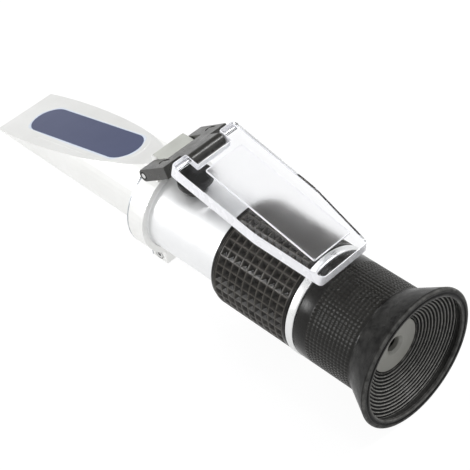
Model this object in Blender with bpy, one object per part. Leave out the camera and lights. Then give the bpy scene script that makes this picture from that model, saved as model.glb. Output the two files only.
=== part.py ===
"""A hand-held optical refractometer, lying on a table with its daylight plate swung open.

The tube runs along X with the eyecup at +X, +Z is up, and the table is at Z = 0.
All lengths are in metres. Places along the tube are chained from the plane of the eyecup's rim.
"""

import math

import bmesh
import bpy
from mathutils import Matrix, Vector

# Fits shared by all pieces
GAP = 0.0003  # between two pieces that touch
OVERRUN = 0.0010  # how far a cut runs past the face that it opens
WELD = 0.000003  # points closer than this are one point
BIG_ROUND_STEPS = 48
OFFSET_ROUND_STEPS = 46  # its flats, not its corners, are at the top and bottom
LENS_ROUND_STEPS = 32
SMALL_ROUND_STEPS = 20
CORNER_STEPS = 5
PILL_END_STEPS = 12
SHARP_ANGLE = math.radians(35)

# Eyecup: soft rubber cone with a ribbed inside
CUP_RADIUS = 0.0200
CUP_DEPTH = 0.0093
CUP_RIM_WIDTH = 0.0025
CUP_BAND_WALL = 0.0018
CUP_BAND_DEPTH = 0.0025
CUP_EDGE_WIDTH = 0.0009
CUP_LIP_DEPTH = 0.0010
CUP_FLOOR_DEPTH = 0.0070
CUP_FLOOR_RADIUS = 0.0085
CUP_RIBS = 12
CUP_RIB_HEIGHT = 0.00035
CUP_PLUG_LENGTH = 0.0027
CUP_PLUG_WALL = 0.0013

# Aperture disc at the bottom of the eyecup
APERTURE_INSIDE_FLOOR = 0.0007
APERTURE_LEDGE = 0.0013
APERTURE_THICKNESS = 0.0019
APERTURE_HOLE_RADIUS = 0.0021
APERTURE_MOUTH_RADIUS = 0.0029
APERTURE_LAND = 0.0012

# Focus sleeve that the eyecup sits in
SLEEVE_WALL = 0.0026
SLEEVE_LENGTH = 0.0187
SLEEVE_WEB_THICKNESS = 0.0015

# Barrel, collar ring and rubber grip
BARREL_RADIUS = 0.0123
BARREL_WALL = 0.0015
RING_WIDTH = 0.0025
RING_WALL = 0.0028
RING_EDGE = 0.0003
GRIP_LENGTH = 0.0276
GRIP_WALL = 0.0026
GRIP_LIP_WALL = 0.0021
GRIP_LIP_WIDTH = 0.0013
WAFFLE_BORDER = 0.0010
WAFFLE_BEAD = 0.00075  # between the waffle and the lip
WAFFLE_DEPTH = 0.0009
WAFFLE_COLUMNS = 10
WAFFLE_ROWS = 38
WAFFLE_TURN = math.radians(32.2)
BARREL_BARE_LENGTH = 0.0275

# Lens tube that slides in the barrel, and what it holds
LENS_TUBE_WALL = 0.0015
LENS_TUBE_LENGTH = 0.0270
LENS_FLANGE_STEP = 0.0013
LENS_FLANGE_THICKNESS = 0.0010
EYE_LENS_THICKNESS = 0.0042
EYE_LENS_EDGE = 0.0018
FIELD_LENS_THICKNESS = 0.0038
FIELD_LENS_EDGE = 0.0016
LENS_SPACER_LENGTH = 0.0060
LENS_SPACER_WALL = 0.0010
LENS_STOP_WIDTH = 0.0010
LENS_RETAINER_LENGTH = 0.0020
FOCUS_TRAVEL = 0.0030
LENS_ARC_STEPS = 3
KEY_RADIUS = 0.0008
KEY_FROM_TUBE_END = 0.0055

# Scale and objective inside the barrel
RETICLE_THICKNESS = 0.0015
RETICLE_FROM_TUBE_END = 0.0060
RETICLE_RING_LENGTH = 0.0025
RETICLE_RING_WALL = 0.0018
OBJECTIVE_CELL_LENGTH = 0.0070
OBJECTIVE_CELL_WALL = 0.0014
OBJECTIVE_THICKNESS = 0.0036
OBJECTIVE_EDGE = 0.0015
OBJECTIVE_STOP_WIDTH = 0.0010

# Calibration screw under its rubber cap, on top of the barrel
CAP_RADIUS = 0.0050
CAP_HEIGHT = 0.0042
CAP_DISC_THICKNESS = 0.0021
CAP_NECK_RADIUS = 0.0034
CAP_EDGE = 0.0006
CAP_EDGE_STEPS = 3
CAP_ROUND_STEPS = 32
CAP_FROM_CLAMP = 0.0086
CAP_ROOF = 0.0008
CAL_SCREW_RADIUS = 0.0012
CAL_HEAD_RADIUS = 0.0022
CAL_HEAD_HEIGHT = 0.0010
CAL_SLOT_WIDTH = 0.0006
CAL_SLOT_DEPTH = 0.0005
CAL_CONE_DEPTH = 0.0006

# Clamp collar with the pinch lug below and the hinge boss above
CLAMP_WIDTH = 0.0064
CLAMP_WALL = 0.0018
LUG_HALF_WIDTH = 0.0080
LUG_DEPTH = 0.0038  # below the barrel
LUG_SLIT = 0.0010
CLAMP_SCREW_RADIUS = 0.0010
CLAMP_SCREW_HEAD_RADIUS = 0.0014
CLAMP_SCREW_HEAD_DEPTH = 0.0014
CLAMP_SOCKET_RADIUS = 0.0007
CLAMP_SOCKET_DEPTH = 0.0008
BOSS_HALF_WIDTH = 0.0057
BOSS_HEIGHT = 0.0087  # above the collar
BOSS_LENGTH = 0.0060
BOSS_SET_BACK = 0.0050  # from the front face of the collar
BOSS_FOOT_RISE = 0.0024
BOSS_UNDERCUT_RISE = 0.0014
BOSS_EDGE = 0.0005

# Front housing: a D-shaped casting cut by the sloping prism face
FRONT_INSIDE_BARREL = 0.0009
FRONT_CENTRE_RISE = 0.0020
FRONT_CROWN_RISE = 0.0020
FACE_SLOPE = math.radians(14.9)
FACE_TIP_DROP = 0.0023
LIGHT_BORE_RADIUS = 0.0058
LIGHT_BORE_LENGTH = 0.0340
SPIGOT_LENGTH = 0.0070

# Prism, its window in the sloping face and the resin seal round it
WINDOW_LENGTH = 0.0492
WINDOW_HALF_WIDTH = 0.0060
WINDOW_FROM_TIP = 0.0080
FACE_BEYOND_WINDOW = 0.00965
PRISM_DEPTH = 0.0046
SEAL_WIDTH = 0.0009
SEAL_DEPTH = 0.0012

# Hinge: an arm turns on the boss, and the plate turns on the arm
PIN_RADIUS = 0.0008
PIN_FIT = 0.0003
SWING_PIN_FROM_BOSS_FRONT = 0.00284
SWING_PIN_BELOW_BOSS_TOP = 0.0023
PLATE_PIN_RADIUS = 0.0006
ARM_SLOPE = math.radians(33.4)
ARM_WIDTH = 0.0054
ARM_LENGTH = 0.0126
ARM_THICKNESS = 0.00366
ARM_END_RAKE = math.radians(14)
SIDE_PLAY = 0.0003
CROSS_CLEARANCE = 0.0031
KNUCKLE_ROUND_STEPS = 14
KNUCKLE_HALF_WIDTH = 0.0057
KNUCKLE_BEYOND_ARM = 0.0039

# Daylight plate and its frosted pane
PLATE_SLOPE = math.radians(12.9)
EAR_WIDTH = 0.0055
EAR_FROM_ARM = 0.00247
NOTCH_CLEARANCE = 0.00138  # in front of the knuckle
PLATE_BEND_TAPER = 0.0005
PLATE_TIP_TAPER = 0.0033
PLATE_BEND_FROM_PIN = 0.02905
PLATE_BEND_TO_TIP = 0.0206
PLATE_ABOVE_PIN = 0.00197
PLATE_BELOW_PIN = 0.00163
PLATE_DRAFT = 0.0004  # how much wider it is below on each side
PLATE_CORNER = 0.0014
PIN_INSIDE_EAR = 0.0012
PANE_SIDE_MARGIN = 0.0016
PANE_ROOT_MARGIN = 0.0031
PANE_TIP_MARGIN = 0.0047
PANE_THICKNESS = 0.0007
PANE_CORNER = 0.0010

# Radii round the tube, each from the piece that it fits over or into
BARREL_BORE = BARREL_RADIUS - BARREL_WALL
OVER_BARREL = BARREL_RADIUS + GAP
SLEEVE_RADIUS = OVER_BARREL + SLEEVE_WALL
RING_RADIUS = OVER_BARREL + RING_WALL
GRIP_RADIUS = OVER_BARREL + GRIP_WALL
GRIP_LIP_RADIUS = OVER_BARREL + GRIP_LIP_WALL
CLAMP_RADIUS = OVER_BARREL + CLAMP_WALL
LENS_TUBE_RADIUS = BARREL_BORE - GAP
LENS_TUBE_BORE = LENS_TUBE_RADIUS - LENS_TUBE_WALL
LENS_FLANGE_RADIUS = LENS_TUBE_RADIUS + LENS_FLANGE_STEP
CUP_PLUG_RADIUS = SLEEVE_RADIUS - CUP_PLUG_WALL
SLEEVE_COUNTERBORE = CUP_PLUG_RADIUS + GAP
APERTURE_RADIUS = CUP_FLOOR_RADIUS - APERTURE_INSIDE_FLOOR
EYE_HOLE_RADIUS = APERTURE_RADIUS - APERTURE_LEDGE
SPIGOT_RADIUS = BARREL_BORE - GAP
FRONT_HALF_WIDTH = BARREL_RADIUS - FRONT_INSIDE_BARREL
FRONT_CROWN_HEIGHT = FRONT_HALF_WIDTH + FRONT_CROWN_RISE

# The foot and the boss, from the collar that carries them
LUG_BOTTOM_DROP = OVER_BARREL + LUG_DEPTH
BOSS_TOP_RISE = CLAMP_RADIUS + BOSS_HEIGHT
BOSS_SLOT = BOSS_HALF_WIDTH + SIDE_PLAY
BOSS_REACH = max(SWING_PIN_FROM_BOSS_FRONT, BOSS_LENGTH - SWING_PIN_FROM_BOSS_FRONT)

# The arm and the plate, from the pins
ARM_HALF_WIDTH = BOSS_SLOT + ARM_WIDTH
KNUCKLE_RADIUS = ARM_THICKNESS / 2
CROSS_START = math.hypot(BOSS_REACH, SWING_PIN_BELOW_BOSS_TOP) + CROSS_CLEARANCE
KNUCKLE_ALONG = ARM_LENGTH + KNUCKLE_BEYOND_ARM
EAR_INNER = KNUCKLE_HALF_WIDTH + SIDE_PLAY
PLATE_ROOT_HALF_WIDTH = EAR_INNER + EAR_WIDTH
PLATE_BEND_HALF_WIDTH = PLATE_ROOT_HALF_WIDTH - PLATE_BEND_TAPER
PLATE_TIP_HALF_WIDTH = PLATE_ROOT_HALF_WIDTH - PLATE_TIP_TAPER
PLATE_TIP_FROM_PIN = PLATE_BEND_FROM_PIN + PLATE_BEND_TO_TIP
PLATE_ROOT_BEHIND_PIN = KNUCKLE_BEYOND_ARM - EAR_FROM_ARM
PANE_HALF_WIDTH = PLATE_TIP_HALF_WIDTH - PANE_SIDE_MARGIN
NOTCH_FROM_PIN = KNUCKLE_RADIUS + NOTCH_CLEARANCE
PANE_FROM_PIN = NOTCH_FROM_PIN + PANE_ROOT_MARGIN
PANE_END_FROM_PIN = PLATE_TIP_FROM_PIN - PANE_TIP_MARGIN

# The front housing is as long as its sloping face needs
FRONT_LENGTH = (WINDOW_FROM_TIP + WINDOW_LENGTH + FACE_BEYOND_WINDOW) * math.cos(FACE_SLOPE)

# Places along the tube, counted from the rim plane towards the tip
SLEEVE_OUTER_END = CUP_DEPTH + GAP
SLEEVE_INNER_END = SLEEVE_OUTER_END + SLEEVE_LENGTH
RING_OUTER_END = SLEEVE_INNER_END + GAP
RING_INNER_END = RING_OUTER_END + RING_WIDTH
GRIP_OUTER_END = RING_INNER_END + GAP
GRIP_INNER_END = GRIP_OUTER_END + GRIP_LENGTH
CLAMP_REAR = GRIP_INNER_END + BARREL_BARE_LENGTH
CLAMP_FRONT = CLAMP_REAR + CLAMP_WIDTH
HOUSING_REAR = CLAMP_FRONT + GAP
TIP = HOUSING_REAR + FRONT_LENGTH
CUP_PLUG_END = CUP_DEPTH + CUP_PLUG_LENGTH
FLANGE_OUTER = CUP_PLUG_END + GAP
FLANGE_INNER = FLANGE_OUTER + LENS_FLANGE_THICKNESS
WEB_OUTER = FLANGE_INNER + GAP
WEB_INNER = WEB_OUTER + SLEEVE_WEB_THICKNESS
NOSE_END = WEB_INNER + GAP
LENS_TUBE_INNER = FLANGE_OUTER + LENS_TUBE_LENGTH
KEY_PLACE = LENS_TUBE_INNER - KEY_FROM_TUBE_END
CAP_PLACE = CLAMP_REAR - CAP_FROM_CLAMP
RETICLE_OUTER = LENS_TUBE_INNER + RETICLE_FROM_TUBE_END

AXIS_HEIGHT = CUP_RADIUS
RIM_X = TIP / 2


def at(distance):
    """World X of a place counted from the eyecup's rim."""
    return RIM_X - distance


def material(name, colour, roughness, metallic=0.0, transmission=0.0):
    made = bpy.data.materials.new(name)
    made.use_nodes = True
    shader = made.node_tree.nodes["Principled BSDF"]
    shader.inputs["Base Color"].default_value = (*colour, 1.0)
    shader.inputs["Roughness"].default_value = roughness
    shader.inputs["Metallic"].default_value = metallic
    shader.inputs["Transmission Weight"].default_value = transmission
    made.diffuse_color = (*colour, 1.0)
    return made


def make(name, shape, finish, origin=None, parent=None):
    """Turn a bmesh with world coordinates into an object whose origin is where it turns or stands."""
    bmesh.ops.recalc_face_normals(shape, faces=shape.faces)
    place = Vector(origin) if origin else Vector((RIM_X - TIP / 2, 0, AXIS_HEIGHT))
    bmesh.ops.translate(shape, vec=-place, verts=shape.verts)
    mesh = bpy.data.meshes.new(name)
    shape.to_mesh(mesh)
    shape.free()
    mesh.shade_smooth()
    mesh.set_sharp_from_angle(angle=SHARP_ANGLE)
    made = bpy.data.objects.new(name, mesh)
    bpy.context.scene.collection.objects.link(made)
    if finish:
        mesh.materials.append(finish)
    if parent:
        made.parent = parent
        made.location = place - parent.location
    else:
        made.location = place
    return made


def turned(outline, steps=BIG_ROUND_STEPS, centre=None, axis=(1, 0, 0), out=(0, 0, 1)):
    """Spin an outline of (along, radius) points about an axis through centre."""
    axis, out = Vector(axis), Vector(out)
    centre = Vector(centre) if centre else Vector((0, 0, AXIS_HEIGHT))
    shape = bmesh.new()
    ring = [shape.verts.new(centre + axis * along + out * radius) for along, radius in outline]
    edges = [shape.edges.new((ring[i - 1], ring[i])) for i in range(len(ring))]
    axial = [e for e in edges if all((v.co - centre).cross(axis).length < WELD for v in e.verts)]
    bmesh.ops.delete(shape, geom=axial, context="EDGES")
    edges = [e for e in edges if e.is_valid]
    verts = list({v for e in edges for v in e.verts})
    bmesh.ops.spin(
        shape, geom=verts + edges, cent=centre, axis=axis, angle=math.tau, steps=steps, use_merge=True
    )
    bmesh.ops.remove_doubles(shape, verts=shape.verts, dist=WELD)
    return shape


def turned_along_tube(outline, steps=BIG_ROUND_STEPS):
    """Spin (distance from the rim, radius) points about the tube's axis."""
    return turned([(at(distance), radius) for distance, radius in outline], steps)


def off_axis(point):
    """The way from the tube's axis to a point, square to the axis."""
    return Vector((0, point.y, point.z - AXIS_HEIGHT))


def tube(start, end, outer, inner, steps=BIG_ROUND_STEPS):
    return turned_along_tube([(start, inner), (start, outer), (end, outer), (end, inner)], steps)


def rod(start, end, radius, centre, axis, out, steps=SMALL_ROUND_STEPS):
    return turned([(start, 0), (start, radius), (end, radius), (end, 0)], steps, centre, axis, out)


def extruded(outline, low, high, place=None):
    """Extrude an (x, z) outline from y = low to y = high, then place it."""
    shape = bmesh.new()
    face = shape.faces.new([shape.verts.new((x, low, z)) for x, z in outline])
    grown = bmesh.ops.extrude_face_region(shape, geom=[face])["geom"]
    moved = [item for item in grown if isinstance(item, bmesh.types.BMVert)]
    bmesh.ops.translate(shape, vec=(0, high - low, 0), verts=moved)
    if place:
        bmesh.ops.transform(shape, matrix=place, verts=shape.verts)
    return shape


def slab(outline, low, high, place):
    """Extrude an (along, across) outline from low to high along the third axis of place."""
    shape = bmesh.new()
    face = shape.faces.new([shape.verts.new((along, across, low)) for along, across in outline])
    grown = bmesh.ops.extrude_face_region(shape, geom=[face])["geom"]
    moved = [item for item in grown if isinstance(item, bmesh.types.BMVert)]
    bmesh.ops.translate(shape, vec=(0, 0, high - low), verts=moved)
    bmesh.ops.transform(shape, matrix=place, verts=shape.verts)
    return shape


def block(low, high):
    """A box between two opposite corners."""
    outline = [(low[0], low[2]), (high[0], low[2]), (high[0], high[2]), (low[0], high[2])]
    return extruded(outline, low[1], high[1])


def arc(centre, radius, start, end, steps=CORNER_STEPS):
    """Points on an arc, with both ends."""
    turn = (end - start) / steps
    return [
        (centre[0] + radius * math.cos(start + i * turn), centre[1] + radius * math.sin(start + i * turn))
        for i in range(steps + 1)
    ]


def rounded(corners, radius, steps=CORNER_STEPS):
    """Round each corner of a polygon with an arc of the given radius."""
    points = []
    for i, corner in enumerate(corners):
        here = Vector(corner)
        before = (Vector(corners[i - 1]) - here).normalized()
        after = (Vector(corners[(i + 1) % len(corners)]) - here).normalized()
        half = before.angle(after) / 2
        reach = radius / math.tan(half)
        centre = here + (before + after).normalized() * (radius / math.sin(half))
        first, last = here + before * reach - centre, here + after * reach - centre
        start = math.atan2(first.y, first.x)
        sweep = (math.atan2(last.y, last.x) - start + math.pi) % math.tau - math.pi
        points += arc(centre, radius, start, start + sweep, steps)
    return points


def pill(start, end, half_width):
    """A slot outline with full round ends."""
    quarter = math.pi / 2
    far_end = arc((end - half_width, 0), half_width, -quarter, quarter, PILL_END_STEPS)
    return far_end + arc((start + half_width, 0), half_width, quarter, 3 * quarter, PILL_END_STEPS)


def combine(target, tool, operation):
    """Cut the target with the tool, or join the tool to it. The tool is left out of the model."""
    change = target.modifiers.new(tool.name, "BOOLEAN")
    change.object = tool
    change.operation = operation
    change.solver = "EXACT"
    tool.hide_render = True
    tool.display_type = "WIRE"
    tool.parent = target.parent
    if target.parent:
        tool.location -= target.parent.location


def cut(target, shape, name):
    combine(target, make(target.name + "_" + name, shape, None), "DIFFERENCE")


def join(target, shape, name):
    combine(target, make(target.name + "_" + name, shape, None), "UNION")


def frame_on(origin, along, normal):
    """A placing matrix whose first axis is along, third is normal and second goes across the tube."""
    along, normal = Vector(along).normalized(), Vector(normal).normalized()
    return Matrix.Translation(origin) @ Matrix((along, normal.cross(along), normal)).transposed().to_4x4()


def clear_scene():
    for old in list(bpy.data.objects):
        bpy.data.objects.remove(old, do_unlink=True)


# The sloping face, measured from its lower edge at the tip
FACE_ORIGIN = Vector((at(TIP), 0, AXIS_HEIGHT - FACE_TIP_DROP))
FACE_ALONG = Vector((math.cos(FACE_SLOPE), 0, math.sin(FACE_SLOPE)))
FACE_NORMAL = Vector((-math.sin(FACE_SLOPE), 0, math.cos(FACE_SLOPE)))
FACE = frame_on(FACE_ORIGIN, FACE_ALONG, FACE_NORMAL)

# Both hinge axes run across the tube
BOSS_FRONT_X = at(CLAMP_FRONT - BOSS_SET_BACK)
BOSS_TOP = AXIS_HEIGHT + BOSS_TOP_RISE
SWING_PIN = Vector((BOSS_FRONT_X + SWING_PIN_FROM_BOSS_FRONT, 0, BOSS_TOP - SWING_PIN_BELOW_BOSS_TOP))
ARM_ALONG = Vector((math.cos(ARM_SLOPE), 0, math.sin(ARM_SLOPE)))
ARM_UP = Vector((-math.sin(ARM_SLOPE), 0, math.cos(ARM_SLOPE)))
PLATE_PIN = SWING_PIN + ARM_ALONG * KNUCKLE_ALONG
PLATE_ALONG = Vector((math.cos(PLATE_SLOPE), 0, -math.sin(PLATE_SLOPE)))
PLATE_UP = Vector((math.sin(PLATE_SLOPE), 0, math.cos(PLATE_SLOPE)))
PLATE = frame_on(PLATE_PIN, PLATE_ALONG, PLATE_UP)
ACROSS = (0, 1, 0)
UPWARD = (0, 0, 1)


def make_eyecup(finish, turning):
    """Cone with an inward lip at its rim, a ribbed inside and a plug that sits in the focus sleeve."""
    lip_radius = CUP_RADIUS - CUP_RIM_WIDTH
    band_radius = CUP_RADIUS - CUP_BAND_WALL
    rib_rise = (CUP_FLOOR_DEPTH - CUP_BAND_DEPTH) / CUP_RIBS
    rib_run = (band_radius - CUP_RIB_HEIGHT - CUP_FLOOR_RADIUS) / CUP_RIBS
    ribs = []
    for i in range(CUP_RIBS):
        depth = CUP_FLOOR_DEPTH - i * rib_rise
        radius = CUP_FLOOR_RADIUS + i * rib_run
        ribs += [(depth, radius), (depth - rib_rise, radius + CUP_RIB_HEIGHT)]
    seat_radius = APERTURE_RADIUS + GAP
    seat_depth = CUP_FLOOR_DEPTH + APERTURE_THICKNESS + 2 * GAP
    outline = [(CUP_PLUG_END, EYE_HOLE_RADIUS), (seat_depth, EYE_HOLE_RADIUS), (seat_depth, seat_radius)]
    outline += [(CUP_FLOOR_DEPTH, seat_radius), *ribs, (CUP_BAND_DEPTH, band_radius)]
    outline += [(CUP_LIP_DEPTH, band_radius), (CUP_LIP_DEPTH, lip_radius), (0, lip_radius)]
    outline += [(0, CUP_RADIUS), (CUP_EDGE_WIDTH, CUP_RADIUS), (CUP_DEPTH, SLEEVE_RADIUS)]
    outline += [(CUP_DEPTH, CUP_PLUG_RADIUS), (CUP_PLUG_END, CUP_PLUG_RADIUS)]
    make("eyecup", turned_along_tube(outline), finish, parent=turning)


def make_aperture_disc(finish, turning):
    """Disc whose hole opens outwards in a funnel."""
    front = CUP_FLOOR_DEPTH + GAP
    back = front + APERTURE_THICKNESS
    funnel_end = back - APERTURE_LAND
    outline = [(back, APERTURE_HOLE_RADIUS), (funnel_end, APERTURE_HOLE_RADIUS), (front, APERTURE_MOUTH_RADIUS)]
    outline += [(front, APERTURE_RADIUS), (back, APERTURE_RADIUS)]
    make("aperture_disc", turned_along_tube(outline), finish, parent=turning)


def make_focus_sleeve(finish, turning):
    """Turned sleeve that runs on the barrel's threaded nose, with a web behind the lens flange."""
    web_bore = LENS_TUBE_RADIUS + GAP
    outline = [(SLEEVE_OUTER_END, SLEEVE_COUNTERBORE), (SLEEVE_OUTER_END, SLEEVE_RADIUS)]
    outline += [(SLEEVE_INNER_END, SLEEVE_RADIUS), (SLEEVE_INNER_END, OVER_BARREL)]
    outline += [(WEB_INNER, OVER_BARREL), (WEB_INNER, web_bore), (WEB_OUTER, web_bore)]
    outline += [(WEB_OUTER, SLEEVE_COUNTERBORE)]
    make("focus_sleeve", turned_along_tube(outline), finish, parent=turning)


def make_lens_tube(finish, sliding):
    """Flanged tube that slides in the barrel and is kept from turning by a key in its slot."""
    stop = LENS_TUBE_BORE - LENS_STOP_WIDTH
    outline = [(FLANGE_OUTER, stop), (FLANGE_OUTER, LENS_FLANGE_RADIUS), (FLANGE_INNER, LENS_FLANGE_RADIUS)]
    outline += [(FLANGE_INNER, LENS_TUBE_RADIUS), (LENS_TUBE_INNER, LENS_TUBE_RADIUS)]
    outline += [(LENS_TUBE_INNER, LENS_TUBE_BORE), (FLANGE_INNER, LENS_TUBE_BORE), (FLANGE_INNER, stop)]
    lens_tube = make("lens_tube", turned_along_tube(outline), finish, parent=sliding)
    half_slot = KEY_RADIUS + GAP
    low_end = KEY_PLACE - half_slot
    high_end = KEY_PLACE + FOCUS_TRAVEL + half_slot
    slot = block(
        (at(high_end), -half_slot, AXIS_HEIGHT - BARREL_RADIUS),
        (at(low_end), half_slot, AXIS_HEIGHT - LENS_TUBE_BORE + LENS_TUBE_WALL),
    )
    cut(lens_tube, slot, "key_slot")


def lens(name, outer_end, radius, edge, thickness, finish, parent):
    """Biconvex lens: the cylindrical edge starts at outer_end, and both faces bulge beyond it."""
    bulge = (thickness - edge) / 2
    ball = (radius**2 + bulge**2) / (2 * bulge)
    half_angle = math.asin(radius / ball)
    front_centre = outer_end - bulge + ball
    back_centre = outer_end + edge + bulge - ball
    turns = [half_angle * i / LENS_ARC_STEPS for i in range(LENS_ARC_STEPS + 1)]
    front = [(front_centre - ball * math.cos(turn), ball * math.sin(turn)) for turn in turns]
    back = [(back_centre + ball * math.cos(turn), ball * math.sin(turn)) for turn in reversed(turns)]
    make(name, turned_along_tube(front + back, LENS_ROUND_STEPS), finish, parent=parent)


def make_eyepiece_lenses(glass, brass, sliding):
    """Eye lens against the flange, then a spacer, the field lens and a screwed-in ring."""
    radius = LENS_TUBE_BORE - GAP
    eye_start = FLANGE_INNER + GAP
    spacer_start = eye_start + EYE_LENS_EDGE + GAP
    field_start = spacer_start + LENS_SPACER_LENGTH + GAP
    retainer_start = field_start + FIELD_LENS_EDGE + GAP
    spacer_end = spacer_start + LENS_SPACER_LENGTH
    retainer_end = retainer_start + LENS_RETAINER_LENGTH
    inner = radius - LENS_SPACER_WALL
    lens("eye_lens", eye_start, radius, EYE_LENS_EDGE, EYE_LENS_THICKNESS, glass, sliding)
    make("lens_spacer", tube(spacer_start, spacer_end, radius, inner), brass, parent=sliding)
    lens("field_lens", field_start, radius, FIELD_LENS_EDGE, FIELD_LENS_THICKNESS, glass, sliding)
    make("lens_retainer", tube(retainer_start, retainer_end, radius, inner), brass, parent=sliding)


def make_barrel(finish):
    """The main tube, from the clamp to the threaded nose inside the focus sleeve."""
    shape = tube(NOSE_END, CLAMP_FRONT, BARREL_RADIUS, BARREL_BORE)
    barrel = make("barrel_tube", shape, finish)
    screw_hole = rod(0, CLAMP_RADIUS, CAL_SCREW_RADIUS + GAP, (at(CAP_PLACE), 0, AXIS_HEIGHT), UPWARD, ACROSS)
    cut(barrel, screw_hole, "calibration_hole")
    key_centre = (at(KEY_PLACE), 0, AXIS_HEIGHT)
    key_hole = rod(0, CLAMP_RADIUS, KEY_RADIUS + GAP, key_centre, (0, 0, -1), ACROSS)
    cut(barrel, key_hole, "key_hole")
    return barrel


def make_guide_key(finish):
    """Peg in the barrel's wall, covered by the grip, whose end runs in the lens tube's slot."""
    centre = (at(KEY_PLACE), 0, AXIS_HEIGHT)
    peg = rod(LENS_TUBE_BORE + GAP, BARREL_RADIUS, KEY_RADIUS, centre, (0, 0, -1), ACROSS)
    make("guide_key", peg, finish)


def make_collar_ring(finish):
    """Metal ring between the sleeve and the grip, with both outer edges broken."""
    shoulder = RING_RADIUS - RING_EDGE
    outline = [(RING_OUTER_END, OVER_BARREL), (RING_OUTER_END, shoulder)]
    outline += [(RING_OUTER_END + RING_EDGE, RING_RADIUS), (RING_INNER_END - RING_EDGE, RING_RADIUS)]
    outline += [(RING_INNER_END, shoulder), (RING_INNER_END, OVER_BARREL)]
    make("collar_ring", turned_along_tube(outline), finish)


def make_grip(finish):
    """Rubber sleeve with a waffle of pyramid pits and a plain lip at its far end."""
    lip = GRIP_INNER_END - GRIP_LIP_WIDTH
    first_ridge = GRIP_OUTER_END + WAFFLE_BORDER
    last_ridge = lip - WAFFLE_BEAD
    pitch = (last_ridge - first_ridge) / WAFFLE_COLUMNS
    outline = [(GRIP_OUTER_END, OVER_BARREL), (GRIP_OUTER_END, GRIP_RADIUS)]
    outline += [(first_ridge + i * pitch, GRIP_RADIUS) for i in range(WAFFLE_COLUMNS + 1)]
    outline += [(lip, GRIP_RADIUS), (lip, GRIP_LIP_RADIUS)]
    outline += [(GRIP_INNER_END, GRIP_LIP_RADIUS), (GRIP_INNER_END, OVER_BARREL)]
    shape = turned_along_tube(outline, WAFFLE_ROWS)
    axis_point = Vector((0, 0, AXIS_HEIGHT))
    turn = Matrix.Rotation(WAFFLE_TURN, 3, "X")
    bmesh.ops.rotate(shape, cent=axis_point, matrix=turn, verts=shape.verts)
    low, high = at(last_ridge) - WELD, at(first_ridge) + WELD
    cells = []
    for face in shape.faces:
        waffled = all(low < vert.co.x < high for vert in face.verts)
        if waffled and off_axis(face.calc_center_median()).length > OVER_BARREL + GAP:
            cells.append(face)
    for vert in bmesh.ops.poke(shape, faces=cells)["verts"]:
        vert.co -= off_axis(vert.co).normalized() * WAFFLE_DEPTH
    make("rubber_grip", shape, finish)


def make_reticle(glass, brass):
    """Scale disc and the ring that holds it, between the eyepiece and the objective."""
    ring_start = RETICLE_OUTER + RETICLE_THICKNESS + GAP
    bore = LENS_TUBE_RADIUS - RETICLE_RING_WALL
    outline = [(RETICLE_OUTER, 0), (RETICLE_OUTER, LENS_TUBE_RADIUS)]
    outline += [(ring_start - GAP, LENS_TUBE_RADIUS), (ring_start - GAP, 0)]
    make("scale_reticle", turned_along_tube(outline), glass)
    make("reticle_ring", tube(ring_start, ring_start + RETICLE_RING_LENGTH, LENS_TUBE_RADIUS, bore), brass)


def make_objective(glass, brass):
    """Cell with the objective lens, right below the calibration screw that shifts it."""
    start = CAP_PLACE - OBJECTIVE_CELL_LENGTH / 2
    end = start + OBJECTIVE_CELL_LENGTH
    bore = LENS_TUBE_RADIUS - OBJECTIVE_CELL_WALL
    stop = bore - OBJECTIVE_STOP_WIDTH
    seat = start + OBJECTIVE_STOP_WIDTH
    outline = [(start, stop), (start, LENS_TUBE_RADIUS), (end, LENS_TUBE_RADIUS), (end, bore)]
    outline += [(seat, bore), (seat, stop)]
    cell = make("objective_cell", turned_along_tube(outline), brass)
    pocket_low = LENS_TUBE_RADIUS - CAL_CONE_DEPTH
    centre = (at(CAP_PLACE), 0, AXIS_HEIGHT)
    cut(cell, rod(pocket_low, CLAMP_RADIUS, CAL_SCREW_RADIUS + GAP, centre, UPWARD, ACROSS), "screw_pocket")
    lens("objective_lens", seat + GAP, bore - GAP, OBJECTIVE_EDGE, OBJECTIVE_THICKNESS, glass, None)


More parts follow.
